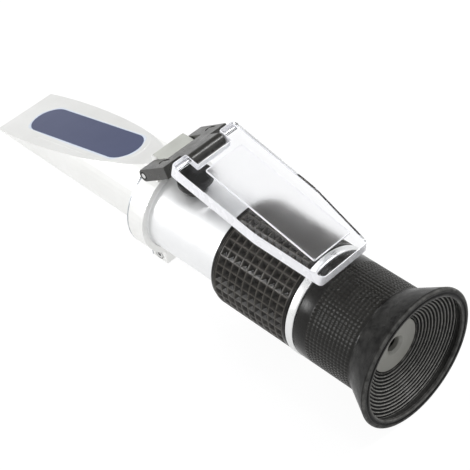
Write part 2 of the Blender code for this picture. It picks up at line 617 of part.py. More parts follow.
def make_calibration(steel, rubber):
    """Slotted screw through the top of the barrel, and the round rubber cap over it."""
    centre = (at(CAP_PLACE), 0, AXIS_HEIGHT)
    tip = LENS_TUBE_RADIUS - CAL_CONE_DEPTH + GAP
    under_head = BARREL_RADIUS + GAP
    top = under_head + CAL_HEAD_HEIGHT
    outline = [(tip, 0), (tip, CAL_SCREW_RADIUS), (under_head, CAL_SCREW_RADIUS)]
    outline += [(under_head, CAL_HEAD_RADIUS), (top, CAL_HEAD_RADIUS), (top, 0)]
    shape = turned(outline, SMALL_ROUND_STEPS, centre, UPWARD, ACROSS)
    screw = make("calibration_screw", shape, steel)
    half = CAL_SLOT_WIDTH / 2
    slot_floor = AXIS_HEIGHT + top - CAL_SLOT_DEPTH
    slot = block(
        (at(CAP_PLACE) - half, -CAP_RADIUS, slot_floor),
        (at(CAP_PLACE) + half, CAP_RADIUS, AXIS_HEIGHT + top + OVERRUN),
    )
    cut(screw, slot, "slot")

    cap_top = BARREL_RADIUS + CAP_HEIGHT
    under_disc = cap_top - CAP_DISC_THICKNESS
    skirt = BARREL_RADIUS * math.cos(math.asin(CAP_NECK_RADIUS / BARREL_RADIUS))
    edge_centre = CAP_RADIUS - CAP_EDGE
    quarter = math.pi / 2
    low_edge = arc((under_disc + CAP_EDGE, edge_centre), CAP_EDGE, 2 * quarter, quarter, CAP_EDGE_STEPS)
    high_edge = arc((cap_top - CAP_EDGE, edge_centre), CAP_EDGE, quarter, 0, CAP_EDGE_STEPS)
    cap_outline = [(skirt, 0), (skirt, CAP_NECK_RADIUS), (under_disc, CAP_NECK_RADIUS)]
    cap_outline += [*low_edge, *high_edge, (cap_top, 0)]
    cap_shape = turned(cap_outline, CAP_ROUND_STEPS, centre, UPWARD, ACROSS)
    cap = make("calibration_cap", cap_shape, rubber)
    barrel_room = rod(-CLAMP_RADIUS, CLAMP_RADIUS, OVER_BARREL, centre, (1, 0, 0), UPWARD, BIG_ROUND_STEPS)
    cut(cap, barrel_room, "barrel_room")
    hollow = rod(0, cap_top - CAP_ROOF, CAL_HEAD_RADIUS + GAP, centre, UPWARD, ACROSS)
    cut(cap, hollow, "hollow")


def make_clamp(finish):
    """Split collar round the barrel's end, with the screwed lug below and the hinge boss above."""
    outline = [(CLAMP_REAR, 0), (CLAMP_REAR, CLAMP_RADIUS), (CLAMP_FRONT, CLAMP_RADIUS), (CLAMP_FRONT, 0)]
    clamp = make("clamp_collar", turned_along_tube(outline), finish)
    lug = block(
        (at(CLAMP_FRONT), -LUG_HALF_WIDTH, AXIS_HEIGHT - LUG_BOTTOM_DROP),
        (at(CLAMP_REAR), LUG_HALF_WIDTH, AXIS_HEIGHT),
    )
    join(clamp, lug, "lug")
    back_x = BOSS_FRONT_X + BOSS_LENGTH
    foot_front = at(CLAMP_FRONT) + BOSS_EDGE
    foot_back = at(CLAMP_REAR) - BOSS_EDGE
    over_cap = AXIS_HEIGHT + BARREL_RADIUS + CAP_HEIGHT + GAP
    foot_top = AXIS_HEIGHT + CLAMP_RADIUS + BOSS_FOOT_RISE
    boss_outline = [
        (foot_front, AXIS_HEIGHT),
        (foot_back, AXIS_HEIGHT),
        (foot_back, over_cap),
        (back_x, over_cap + BOSS_UNDERCUT_RISE),
        (back_x, BOSS_TOP - BOSS_EDGE),
        (back_x - BOSS_EDGE, BOSS_TOP),
        (BOSS_FRONT_X + BOSS_EDGE, BOSS_TOP),
        (BOSS_FRONT_X, BOSS_TOP - BOSS_EDGE),
        (BOSS_FRONT_X, foot_top),
        (foot_front, foot_top - BOSS_FOOT_RISE),
    ]
    join(clamp, extruded(boss_outline, -BOSS_HALF_WIDTH, BOSS_HALF_WIDTH), "boss")
    long_room = BARREL_RADIUS + CLAMP_WIDTH
    axis_centre = (at(CLAMP_REAR), 0, AXIS_HEIGHT)
    tube_room = rod(-long_room, long_room, OVER_BARREL, axis_centre, (1, 0, 0), ACROSS, OFFSET_ROUND_STEPS)
    cut(clamp, tube_room, "tube_room")
    slit = block(
        (at(CLAMP_FRONT) - OVERRUN, -LUG_SLIT / 2, AXIS_HEIGHT - LUG_BOTTOM_DROP - OVERRUN),
        (at(CLAMP_REAR) + OVERRUN, LUG_SLIT / 2, AXIS_HEIGHT - BARREL_BORE),
    )
    cut(clamp, slit, "slit")
    pin_reach = BOSS_HALF_WIDTH + OVERRUN
    cut(clamp, rod(-pin_reach, pin_reach, PIN_RADIUS + PIN_FIT, SWING_PIN, ACROSS, UPWARD), "pin_hole")
    reach = LUG_HALF_WIDTH + OVERRUN
    centre = lug_screw_centre()
    floor = -LUG_HALF_WIDTH + CLAMP_SCREW_HEAD_DEPTH + GAP
    wide, narrow = CLAMP_SCREW_HEAD_RADIUS + GAP, CLAMP_SCREW_RADIUS + GAP
    stepped = [(-reach, 0), (-reach, wide), (floor, wide), (floor, narrow), (reach, narrow), (reach, 0)]
    cut(clamp, turned(stepped, SMALL_ROUND_STEPS, centre, ACROSS, UPWARD), "screw_hole")


def lug_screw_centre():
    """Centre of the pinch screw, halfway between the barrel and the bottom of the lug."""
    drop = (OVER_BARREL + LUG_BOTTOM_DROP) / 2
    return Vector((at((CLAMP_FRONT + CLAMP_REAR) / 2), 0, AXIS_HEIGHT - drop))


def make_clamp_screw(finish):
    """Pinch screw across the lug, with a socket head at -Y."""
    head_end = -LUG_HALF_WIDTH + CLAMP_SCREW_HEAD_DEPTH
    socket_floor = -LUG_HALF_WIDTH + CLAMP_SOCKET_DEPTH
    outline = [(socket_floor, 0), (socket_floor, CLAMP_SOCKET_RADIUS), (-LUG_HALF_WIDTH, CLAMP_SOCKET_RADIUS)]
    outline += [(-LUG_HALF_WIDTH, CLAMP_SCREW_HEAD_RADIUS), (head_end, CLAMP_SCREW_HEAD_RADIUS)]
    outline += [(head_end, CLAMP_SCREW_RADIUS), (LUG_HALF_WIDTH, CLAMP_SCREW_RADIUS), (LUG_HALF_WIDTH, 0)]
    make("clamp_screw", turned(outline, SMALL_ROUND_STEPS, lug_screw_centre(), ACROSS, UPWARD), finish)


def make_front_housing(finish):
    """Half-round below, crowned above, cut by the sloping face, with a spigot into the barrel."""
    middle = AXIS_HEIGHT + FRONT_CENTRE_RISE
    turns = [math.tau * i / BIG_ROUND_STEPS for i in range(BIG_ROUND_STEPS)]
    section = []
    for turn in turns:
        height = FRONT_CROWN_HEIGHT if math.sin(turn) > 0 else FRONT_HALF_WIDTH
        section.append((FRONT_HALF_WIDTH * math.cos(turn), middle + height * math.sin(turn)))
    shape = bmesh.new()
    face = shape.faces.new([shape.verts.new((at(TIP), y, z)) for y, z in section])
    grown = bmesh.ops.extrude_face_region(shape, geom=[face])["geom"]
    moved = [item for item in grown if isinstance(item, bmesh.types.BMVert)]
    bmesh.ops.translate(shape, vec=(FRONT_LENGTH, 0, 0), verts=moved)
    housing = make("front_housing", shape, finish)
    housing_centre = (at(HOUSING_REAR), 0, AXIS_HEIGHT)
    spigot = rod(-OVERRUN, SPIGOT_LENGTH, SPIGOT_RADIUS, housing_centre, (1, 0, 0), UPWARD, BIG_ROUND_STEPS)
    join(housing, spigot, "spigot")

    face_length = FRONT_LENGTH / math.cos(FACE_SLOPE)
    wide = FRONT_HALF_WIDTH + OVERRUN
    high = FRONT_CROWN_HEIGHT + FRONT_HALF_WIDTH
    past = face_length + high
    above = [(-high, -wide), (past, -wide), (past, wide), (-high, wide)]
    cut(housing, slab(above, 0, high, FACE), "sloping_face")

    bore_start = -LIGHT_BORE_LENGTH
    bore_end = SPIGOT_LENGTH + OVERRUN
    bore = rod(bore_start, bore_end, LIGHT_BORE_RADIUS, housing_centre, (1, 0, 0), ACROSS, OFFSET_ROUND_STEPS)
    cut(housing, bore, "light_bore")
    room = PRISM_DEPTH + GAP
    start = WINDOW_FROM_TIP - GAP
    end = WINDOW_FROM_TIP + WINDOW_LENGTH + GAP
    cut(housing, slab(pill(start, end, WINDOW_HALF_WIDTH + GAP), -room, OVERRUN, FACE), "prism_room")
    border = SEAL_WIDTH + 2 * GAP
    seat = pill(start - border, end + border, WINDOW_HALF_WIDTH + GAP + border)
    cut(housing, slab(seat, -SEAL_DEPTH - GAP, OVERRUN, FACE), "seal_seat")


def make_prism(glass):
    """Glass prism whose top is the pill-shaped window in the sloping face."""
    outline = pill(WINDOW_FROM_TIP, WINDOW_FROM_TIP + WINDOW_LENGTH, WINDOW_HALF_WIDTH)
    make("main_prism", slab(outline, -PRISM_DEPTH, 0, FACE), glass, origin=FACE_ORIGIN)


def make_seal(finish):
    """Resin bead round the window."""
    start = WINDOW_FROM_TIP - GAP
    end = WINDOW_FROM_TIP + WINDOW_LENGTH + GAP
    inner = WINDOW_HALF_WIDTH + GAP
    outer = pill(start - SEAL_WIDTH, end + SEAL_WIDTH, inner + SEAL_WIDTH)
    seal = make("prism_seal", slab(outer, -SEAL_DEPTH, 0, FACE), finish)
    cut(seal, slab(pill(start, end, inner), -SEAL_DEPTH - OVERRUN, OVERRUN, FACE), "window")


def make_bracket(finish, swing):
    """Two arms either side of the boss, a cross piece between them and the knuckle that carries the plate."""
    place = frame_on(SWING_PIN, ARM_ALONG, ARM_UP)
    quarter = math.pi / 2
    half = ARM_THICKNESS / 2
    pin_end = arc((0, 0), half, quarter, 3 * quarter, KNUCKLE_ROUND_STEPS)
    knuckle = arc((KNUCKLE_ALONG, 0), half, -quarter, quarter, KNUCKLE_ROUND_STEPS)
    shape = extruded(pin_end + knuckle, -ARM_HALF_WIDTH, ARM_HALF_WIDTH, place)
    bracket = make("hinge_bracket", shape, finish, origin=SWING_PIN, parent=swing)
    reach = half + OVERRUN
    past = KNUCKLE_ALONG + reach
    notch = [(-reach, -reach), (CROSS_START, -reach), (CROSS_START, reach), (-reach, reach)]
    cut(bracket, extruded(notch, -BOSS_SLOT, BOSS_SLOT, place), "boss_notch")
    lower_end = ARM_LENGTH - (half + reach) * math.tan(ARM_END_RAKE)
    upper_end = ARM_LENGTH + (reach - half) * math.tan(ARM_END_RAKE)
    beyond = [(lower_end, -reach), (past, -reach), (past, reach), (upper_end, reach)]
    outside = ARM_HALF_WIDTH + OVERRUN
    cut(bracket, extruded(beyond, -outside, -KNUCKLE_HALF_WIDTH, place), "near_shoulder")
    cut(bracket, extruded(beyond, KNUCKLE_HALF_WIDTH, outside, place), "far_shoulder")
    cut(bracket, rod(-outside, outside, PIN_RADIUS + PIN_FIT, SWING_PIN, ACROSS, UPWARD), "swing_hole")
    bore = PLATE_PIN_RADIUS + PIN_FIT
    cut(bracket, rod(-outside, outside, bore, PLATE_PIN, ACROSS, UPWARD), "plate_hole")


def make_pins(finish, swing):
    """One pin through the boss and the arms, and one through the knuckle and the plate's ears."""
    swing_pin = rod(-ARM_HALF_WIDTH, ARM_HALF_WIDTH, PIN_RADIUS, SWING_PIN, ACROSS, UPWARD)
    make("swing_pin", swing_pin, finish, origin=SWING_PIN)
    pin_end = PLATE_ROOT_HALF_WIDTH - PIN_INSIDE_EAR
    plate_pin = rod(-pin_end, pin_end, PLATE_PIN_RADIUS, PLATE_PIN, ACROSS, UPWARD)
    make("plate_pin", plate_pin, finish, origin=PLATE_PIN, parent=swing)


def make_plate(clear, frosted, tilt):
    """Clear plate with two ears on the pin, and the frosted pane on the side that meets the prism."""
    outline = [
        (-PLATE_ROOT_BEHIND_PIN, PLATE_ROOT_HALF_WIDTH),
        (-PLATE_ROOT_BEHIND_PIN, -PLATE_ROOT_HALF_WIDTH),
        (PLATE_BEND_FROM_PIN, -PLATE_BEND_HALF_WIDTH),
        (PLATE_TIP_FROM_PIN, -PLATE_TIP_HALF_WIDTH),
        (PLATE_TIP_FROM_PIN, PLATE_TIP_HALF_WIDTH),
        (PLATE_BEND_FROM_PIN, PLATE_BEND_HALF_WIDTH),
    ]
    shape = slab(rounded(outline, PLATE_CORNER), -PLATE_BELOW_PIN, PLATE_ABOVE_PIN, Matrix.Identity(4))
    for vert in shape.verts:
        if vert.co.z < 0:
            vert.co.y += math.copysign(PLATE_DRAFT, vert.co.y)
    bmesh.ops.transform(shape, matrix=PLATE, verts=shape.verts)
    plate = make("daylight_plate", shape, clear, origin=PLATE_PIN, parent=tilt)
    notch_start = -PLATE_ROOT_BEHIND_PIN - OVERRUN
    notch = [
        (notch_start, -EAR_INNER),
        (NOTCH_FROM_PIN, -EAR_INNER),
        (NOTCH_FROM_PIN, EAR_INNER),
        (notch_start, EAR_INNER),
    ]
    cut(plate, slab(notch, -PLATE_BELOW_PIN - OVERRUN, PLATE_ABOVE_PIN + OVERRUN, PLATE), "knuckle_notch")
    reach = PLATE_ROOT_HALF_WIDTH - PIN_INSIDE_EAR + GAP
    cut(plate, rod(-reach, reach, PLATE_PIN_RADIUS + PIN_FIT, PLATE_PIN, ACROSS, UPWARD), "pin_hole")

    corners = [
        (PANE_FROM_PIN, -PANE_HALF_WIDTH),
        (PANE_END_FROM_PIN, -PANE_HALF_WIDTH),
        (PANE_END_FROM_PIN, PANE_HALF_WIDTH),
        (PANE_FROM_PIN, PANE_HALF_WIDTH),
    ]
    low = PLATE_ABOVE_PIN + GAP
    pane = slab(rounded(corners, PANE_CORNER), low, low + PANE_THICKNESS, PLATE)
    make("frosted_pane", pane, frosted, origin=PLATE_PIN, parent=tilt)


def joint_empty(name, place):
    """An empty on a joint's axis, which carries the pieces that move with it."""
    empty = bpy.data.objects.new(name, None)
    bpy.context.scene.collection.objects.link(empty)
    empty.location = place
    return empty


clear_scene()

black_rubber = material("black_rubber", (0.030, 0.028, 0.026), 0.55)
cup_rubber = material("cup_rubber", (0.028, 0.028, 0.027), 0.42)
black_plastic = material("black_plastic", (0.035, 0.034, 0.032), 0.35)
satin_white = material("satin_white", (0.86, 0.86, 0.85), 0.38, metallic=0.2)
cast_metal = material("cast_metal", (0.70, 0.70, 0.68), 0.45, metallic=0.5)
window_glass = material("window_glass", (0.09, 0.11, 0.19), 0.08)
pale_resin = material("pale_resin", (0.62, 0.63, 0.66), 0.40)
lens_glass = material("lens_glass", (0.90, 0.93, 0.95), 0.03, transmission=0.9)
clear_acrylic = material("clear_acrylic", (0.93, 0.93, 0.96), 0.05, transmission=0.9)
frosted_acrylic = material("frosted_acrylic", (0.88, 0.88, 0.90), 0.45, transmission=0.6)
brass = material("brass", (0.60, 0.48, 0.25), 0.35, metallic=1.0)
steel = material("steel", (0.62, 0.62, 0.62), 0.28, metallic=1.0)
grey_disc = material("grey_disc", (0.60, 0.61, 0.59), 0.40, metallic=0.3)

TUBE_AXIS = Vector((RIM_X, 0, AXIS_HEIGHT))
focus_travel = joint_empty("focus_travel", TUBE_AXIS)
focus_turn = joint_empty("focus_turn", TUBE_AXIS)
bracket_swing = joint_empty("bracket_swing", SWING_PIN)
plate_swing = joint_empty("plate_swing", PLATE_PIN)

make_eyecup(cup_rubber, focus_turn)
make_aperture_disc(grey_disc, focus_turn)
make_focus_sleeve(black_plastic, focus_turn)
make_lens_tube(brass, focus_travel)
make_eyepiece_lenses(lens_glass, brass, focus_travel)
make_barrel(satin_white)
make_guide_key(steel)
make_collar_ring(satin_white)
make_grip(black_rubber)
make_reticle(lens_glass, brass)
make_objective(lens_glass, brass)
make_calibration(steel, black_rubber)
make_clamp(cast_metal)
make_clamp_screw(steel)
make_front_housing(cast_metal)
make_prism(window_glass)
make_seal(pale_resin)
make_bracket(black_plastic, bracket_swing)
make_pins(steel, bracket_swing)
make_plate(clear_acrylic, frosted_acrylic, plate_swing)
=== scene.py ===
"""Studio scene of a hand-held optical refractometer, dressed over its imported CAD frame.

Places along the tube are counted from the plane of the eyecup's rim, as in the part's source.
All lengths are in metres, and angles round the tube are counted from +Z towards -Y.
"""

import math

import bmesh
import bpy
from mathutils import Matrix, Vector


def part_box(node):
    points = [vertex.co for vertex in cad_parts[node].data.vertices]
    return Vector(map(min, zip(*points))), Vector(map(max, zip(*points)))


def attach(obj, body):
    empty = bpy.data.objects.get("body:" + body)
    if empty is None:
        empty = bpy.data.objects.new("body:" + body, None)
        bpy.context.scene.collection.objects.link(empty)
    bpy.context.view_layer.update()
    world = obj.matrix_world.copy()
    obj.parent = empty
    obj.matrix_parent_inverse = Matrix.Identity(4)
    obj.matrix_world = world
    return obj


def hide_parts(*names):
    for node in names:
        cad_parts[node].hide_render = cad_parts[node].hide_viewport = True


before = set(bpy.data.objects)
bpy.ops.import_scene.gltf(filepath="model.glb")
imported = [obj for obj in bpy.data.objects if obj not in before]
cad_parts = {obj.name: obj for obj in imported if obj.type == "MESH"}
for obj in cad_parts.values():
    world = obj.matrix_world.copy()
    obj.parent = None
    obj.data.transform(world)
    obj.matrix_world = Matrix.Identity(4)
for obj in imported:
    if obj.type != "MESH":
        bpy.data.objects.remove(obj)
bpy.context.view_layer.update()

# Play between pieces, the two ends of the tube and the height of its axis
GAP = 0.0003
RIM_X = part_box("eyecup")[1].x
TIP_X = -RIM_X
AXIS_Z = (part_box("eyecup")[0].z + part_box("eyecup")[1].z) / 2

# Angle of a sharp edge, turn in radians of an edge fully painted paler (wear and painted
# highlight), cosine of a level face, distance of equal points
SHARP, WEAR_AND_SHINE_TURN, LEVEL_FACE, SAME = math.radians(32), 0.8, 0.93, 1e-7

# Eyecup and the disc in it
CUP_RADIUS, CUP_DEPTH = 0.0200, 0.0093
CUP_LIP_RADIUS, CUP_EDGE_WIDTH, CUP_LIP_DEPTH = 0.0175, 0.0009, 0.0010
CUP_GROOVE_DEPTH, CUP_GROOVE_FLANK = 0.00022, 0.0002
CUP_BEAD_WIDTH, CUP_BORDER_WIDTH = 0.0007, 0.0010
CUP_BAND_RADIUS, CUP_BAND_DEPTH, CUP_BAND_STEP = 0.0182, 0.0025, 0.0001
CUP_FLOOR_DEPTH, CUP_FLOOR_RADIUS = 0.0070, 0.0085
CUP_RIBS, CUP_RIB_HEIGHT, CUP_RIB_POINTS = 12, 0.00050, 8
CUP_RIB_ROUNDNESS, CUP_RIB_TAPER, CUP_CREST_FALL, CUP_LIP_SHEEN = 0.7, 0.35, 2.2, 0.10
CUP_PLUG_RADIUS, CUP_PLUG_END = 0.0139, 0.0120
DISC_RADIUS, DISC_HOLE, DISC_THICKNESS = 0.0078, 0.0021, 0.0019
DISC_MOUTH, DISC_LAND = 0.0029, 0.0012
EYE_HOLE = 0.0065

# Focus sleeve with its grid of small square studs
SLEEVE_START, SLEEVE_END, SLEEVE_RADIUS = 0.00935, 0.0283, 0.0152
SLEEVE_BORE, SLEEVE_BORE_DEPTH = 0.0142, 0.0072
STUD_START, STUD_PITCH, STUD_COLUMNS, STUD_ROWS = 0.0099, 0.00118, 12, 87
STUD_GROOVE_DEPTH, STUD_EDGE_SHARE = 0.00022, 0.24

# Collar ring, grip and barrel
RING_START, RING_END, RING_RADIUS, RING_ROUND = 0.0286, 0.0311, 0.0154, 0.00045
GRIP_START, GRIP_END, GRIP_RADIUS, GRIP_LIP_RADIUS = 0.0314, 0.0590, 0.0152, 0.0147
GRIP_LIP_WIDTH, GRIP_LINE_DEPTH = 0.0013, 0.00035
WAFFLE_START, WAFFLE_PITCH, WAFFLE_COLUMNS, WAFFLE_ROWS = 0.0324, 0.002455, 10, 38
WAFFLE_PHASE = math.radians(32.2)
WAFFLE_RIDGE, WAFFLE_DEPTH = 0.00020, 0.00082
BARREL_RADIUS, BARREL_BORE, BARREL_START, BARREL_END = 0.0123, 0.0108, 0.0154, 0.0929
CLAMP_SEAT_START, CLAMP_SEAT_RADIUS = 0.0864, 0.01252
OVER_BARREL = BARREL_RADIUS + GAP

# Cap over the calibration screw
CAP_PLACE, CAP_RADIUS, CAP_HEIGHT, CAP_ROUND = 0.0779, 0.0050, 0.0042, 0.0006
CAP_DISC, CAP_NECK = 0.0021, 0.0034

# Hinge bracket: arms that rise from the swing pin, a web between them and the knuckle of the
# plate pin
SWING_PIN = (-0.006159, 0.0408)
ARM_SLOPE, ARM_HALF, ARM_INSIDE, ARM_OUTSIDE = math.radians(33.4), 0.00183, 0.0060, 0.0114
ARM_END, ARM_SET_BACK, WEB_START = 0.0126, 0.00091, 0.0070
KNUCKLE, TONGUE_HALF, SWING_BORE, PLATE_BORE = 0.0165, 0.0057, 0.0011, 0.0009
BRACKET_EDGE = 0.00022
SLIT_WIDTH, SLIT_DEPTH = 0.00080, 0.0020
NEAR_SLIT = (
    (6.95, -9.0), (6.3, -8.45), (6.0, -7.85), (6.2, -7.35), (6.8, -7.1), (8.2, -7.05), (9.6, -7.1)
)
FAR_SLIT = ((6.95, 7.8), (6.3, 8.7), (6.0, 9.4), (6.2, 9.9), (6.7, 10.1), (7.8, 10.15), (9.0, 10.1))

# Daylight plate and its frosted pane, along the plate from its pin
PLATE_PIN = (0.007616, 0.049883)
PLATE_SLOPE, PLATE_LOW, PLATE_HIGH = math.radians(12.9), -0.00163, 0.00197
PLATE_ROOT, PLATE_BEND, PLATE_TIP = -0.00143, 0.02905, 0.04965
ROOT_HALF, BEND_HALF, TIP_HALF = 0.0115, 0.0110, 0.0082
PLATE_CORNER, PLATE_BEND_ROUND, PLATE_DRAFT, PLATE_EDGE = 0.0014, 0.004, 0.0004, 0.00022
NOTCH_END, NOTCH_HALF, EAR_BORE_END = 0.00321, 0.0060, 0.0106
PANE_START, PANE_END, PANE_HALF, PANE_CORNER = 0.00631, 0.04495, 0.0066, 0.0006
PANE_LOW, PANE_HIGH, PANE_EDGE = 0.00227, 0.00297, 0.00022

# Sloping face with the window and its seal
FACE_SLOPE, FACE_Z = math.radians(14.9), 0.0177
WINDOW_START, WINDOW_END, WINDOW_HALF = 0.0080, 0.0572, 0.0060
SEAL_WIDTH, SEAL_SLACK, SEAL_RISE, SEAL_DEPTH = 0.0009, 0.00002, 0.00003, 0.0008
SEAL_LIP, SEAL_HALO, SEAL_EDGE = 0.0006, 0.0004, 0.00002


def at(distance):
    """World X of a place counted from the eyecup's rim."""
    return RIM_X - distance


# ---- mesh helpers ----


def arc(centre, radius, start, end, steps):
    """Points on a circle from one angle to another, both ends included."""
    turn = (end - start) / steps
    angles = [start + i * turn for i in range(steps + 1)]
    return [(centre[0] + radius * math.cos(a), centre[1] + radius * math.sin(a)) for a in angles]


def rounded(corners, steps=4):
    """Round the corners (u, v, radius) of a closed polygon; one without a radius stays sharp."""
    points = []
    for i, corner in enumerate(corners):
        here = Vector(corner[:2])
        if len(corner) < 3 or corner[2] <= 0:
            points.append(tuple(here))
            continue
        before = (Vector(corners[i - 1][:2]) - here).normalized()
        after = (Vector(corners[(i + 1) % len(corners)][:2]) - here).normalized()
        half = before.angle(after) / 2
        reach = corner[2] / math.tan(half)
        centre = here + (before + after).normalized() * (corner[2] / math.sin(half))
        first, last = here + before * reach - centre, here + after * reach - centre
        start = math.atan2(first.y, first.x)
        sweep = (math.atan2(last.y, last.x) - start + math.pi) % math.tau - math.pi
        points += arc(centre, corner[2], start, start + sweep, steps)
    return points


def round_tube(distance, angle, radius):
    """World point at a place along the tube, an angle round it and a radius."""
    return Vector((at(distance), -radius * math.sin(angle), AXIS_Z + radius * math.cos(angle)))


def spun(outline, angles, relief=None):
    """Faces of a closed (distance, radius) outline turned about the tube's axis.

    relief(i, j) is how far point i of the outline lies under its radius at angle j. A quad is
    split through its deepest corner, so that pits become flat-sided pyramids.
    """
    shape = bmesh.new()
    count = len(outline)
    rings = []
    drops = []
    for j, angle in enumerate(angles):
        drop = [relief(i, j) if relief else 0.0 for i in range(count)]
        drops.append(drop)
        places = [round_tube(s, angle, r - drop[i]) for i, (s, r) in enumerate(outline)]
        rings.append([shape.verts.new(place) for place in places])
    for j in range(len(angles)):
        k = (j + 1) % len(angles)
        for i in range(count):
            h = (i + 1) % count
            corners = [rings[j][i], rings[j][h], rings[k][h], rings[k][i]]
            depth = [drops[j][i], drops[j][h], drops[k][h], drops[k][i]]
            deepest = depth.index(max(depth))
            if max(depth) > min(depth) and depth.count(depth[deepest]) == 1:
                turned = corners[deepest:] + corners[:deepest]
                shape.faces.new(turned[:3])
                shape.faces.new([turned[0], turned[2], turned[3]])
            else:
                shape.faces.new(corners)
    return shape


def even(steps):
    """Angles that part a full turn evenly."""
    return [math.tau * i / steps for i in range(steps)]


def drawn(polygon, way):
    """Closed bmesh of a flat polygon drawn out along a way."""
    shape = bmesh.new()
    face = shape.faces.new([shape.verts.new(point) for point in polygon])
    grown = bmesh.ops.extrude_face_region(shape, geom=[face])["geom"]
    moved = [item for item in grown if isinstance(item, bmesh.types.BMVert)]
    bmesh.ops.translate(shape, vec=way, verts=moved)
    return shape


def bevel(shape, edges, width, steps):
    bmesh.ops.bevel(
        shape,
        geom=edges,
        offset=width,
        segments=steps,
        profile=0.5,
        affect="EDGES",
        clamp_overlap=True,
    )


def slab(outline, low, high, place, edge=0.0):
    """Extrude an (along, across) outline from low to high in place's frame, rims rounded."""
    shape = drawn([(u, v, low) for u, v in outline], (0, 0, high - low))
    if edge > 0:
        rims = [e for e in shape.edges if abs(e.verts[0].co.z - e.verts[1].co.z) < SAME]
        bevel(shape, rims, edge, 2)
    bmesh.ops.transform(shape, matrix=place, verts=shape.verts)
    return shape


def tilted(origin, slope, rise):
    """Frame at an (x, z) origin: u runs along the tube at a slope, v across it and w up from both.

    rise is 1 where u climbs towards the eyecup, and -1 where it falls.
    """
    along = Vector((math.cos(slope), 0, rise * math.sin(slope)))
    up = Vector((-rise * math.sin(slope), 0, math.cos(slope)))
    turn = Matrix((along, Vector((0, 1, 0)), up)).transposed().to_4x4()
    return Matrix.Translation((origin[0], 0, origin[1])) @ turn


def crosswise(outline, near, far, place):
    """Extrude an (along, up) outline across the tube."""
    shape = drawn([(u, near, w) for u, w in outline], (0, far - near, 0))
    bmesh.ops.transform(shape, matrix=place, verts=shape.verts)
    return shape


def round_bar(u, w, radius, reach, place):
    """Bar across the tube, as a tool for bores."""
    return crosswise(arc((u, w), radius, 0, math.tau, 32)[:-1], -reach, reach, place)


def groove(path, width, low, high, place):
    """Thin wall along a path in millimetres, narrower at its ends, as a tool for a slit."""
    points = [Vector(p) / 1000 for p in path]
    left, right = [], []
    for i, here in enumerate(points):
        way = (points[min(i + 1, len(points) - 1)] - points[max(i - 1, 0)]).normalized()
        half = width / 2 * (0.35 if i in (0, len(points) - 1) else 1.0)
        side = Vector((-way.y, way.x)) * half
        left.append(tuple(here + side))
        right.append(tuple(here - side))
    return slab(left + right[::-1], low, high, place)


def placed(name, data):
    """Object in the scene that holds the data given."""
    made = bpy.data.objects.new(name, data)
    bpy.context.scene.collection.objects.link(made)
    return made


def carved(shape, tools):
    """Cut closed bmeshes out of a closed bmesh."""
    def stood(source):
        bmesh.ops.recalc_face_normals(source, faces=source.faces)
        mesh = bpy.data.meshes.new("carving")
        source.to_mesh(mesh)
        source.free()
        return placed("carving", mesh)

    block = stood(shape)
    cutters = [stood(tool) for tool in tools]
    for cutter in cutters:
        step = block.modifiers.new("cut", "BOOLEAN")
        step.operation = "DIFFERENCE"
        step.solver = "EXACT"
        step.object = cutter
    bpy.context.view_layer.update()
    depsgraph = bpy.context.evaluated_depsgraph_get()
    cut = bpy.data.meshes.new_from_object(block.evaluated_get(depsgraph))
    result = bmesh.new()
    result.from_mesh(cut)
    bpy.data.meshes.remove(cut)
    for made in [block, *cutters]:
        mesh = made.data
        bpy.data.objects.remove(made)
        bpy.data.meshes.remove(mesh)
    for face in result.faces:
        face.material_index = 0
    bmesh.ops.remove_doubles(result, verts=result.verts, dist=SAME)
    bmesh.ops.dissolve_limit(
        result, angle_limit=math.radians(0.3), verts=result.verts, edges=result.edges
    )
    return result


def soften(shape, width, steps=2, angle=math.radians(40)):
    """Round every edge of a bmesh that is sharper than angle."""
    bmesh.ops.recalc_face_normals(shape, faces=shape.faces)
    edges = [e for e in shape.edges if len(e.link_faces) == 2 and e.calc_face_angle(0.0) > angle]
    bevel(shape, edges, width, steps)


def piece(name, shape, looks, body, nodes, sharp=SHARP, paint=None, level=False):
    """Make a bmesh the object that stands for CAD nodes.

    looks holds a Look for each material index. The edge attribute tells how far a point stands on
    an edge that its material paints paler, partly as wear and partly as painted highlight, and
    paint may add the crest attribute. level keeps the shading of flat faces flat beside their
    rounded edges.
    """
    bmesh.ops.recalc_face_normals(shape, faces=shape.faces)
    shape.normal_update()
    edge = shape.verts.layers.float.new("edge")
    for vert in shape.verts:
        turns = [e.calc_face_angle_signed(0.0) for e in vert.link_edges if len(e.link_faces) == 2]
        vert[edge] = min(max(max(turns, default=0.0), 0.0) / WEAR_AND_SHINE_TURN, 1.0)
    if paint:
        paint(shape)
    mesh = bpy.data.meshes.new(name)
    shape.to_mesh(mesh)
    shape.free()
    for look in looks:
        mesh.materials.append(look.material)
    mesh.shade_smooth()
    mesh.set_sharp_from_angle(angle=sharp)
    made = placed(name, mesh)
    if level:
        flat = made.modifiers.new("flat_faces", "WEIGHTED_NORMAL")
        flat.keep_sharp = True
        flat.weight = 100
    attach(made, body)
    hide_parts(*nodes)


# ---- materials ----


def blend(tree, factor, first, second, output="Material Output"):
    """Mix two shaders into the surface of an output node."""
    mix = tree.nodes.new("ShaderNodeMixShader")
    tree.links.new(factor, mix.inputs["Fac"])
    tree.links.new(first, mix.inputs[1])
    tree.links.new(second, mix.inputs[2])
    tree.links.new(mix.outputs["Shader"], tree.nodes[output].inputs["Surface"])


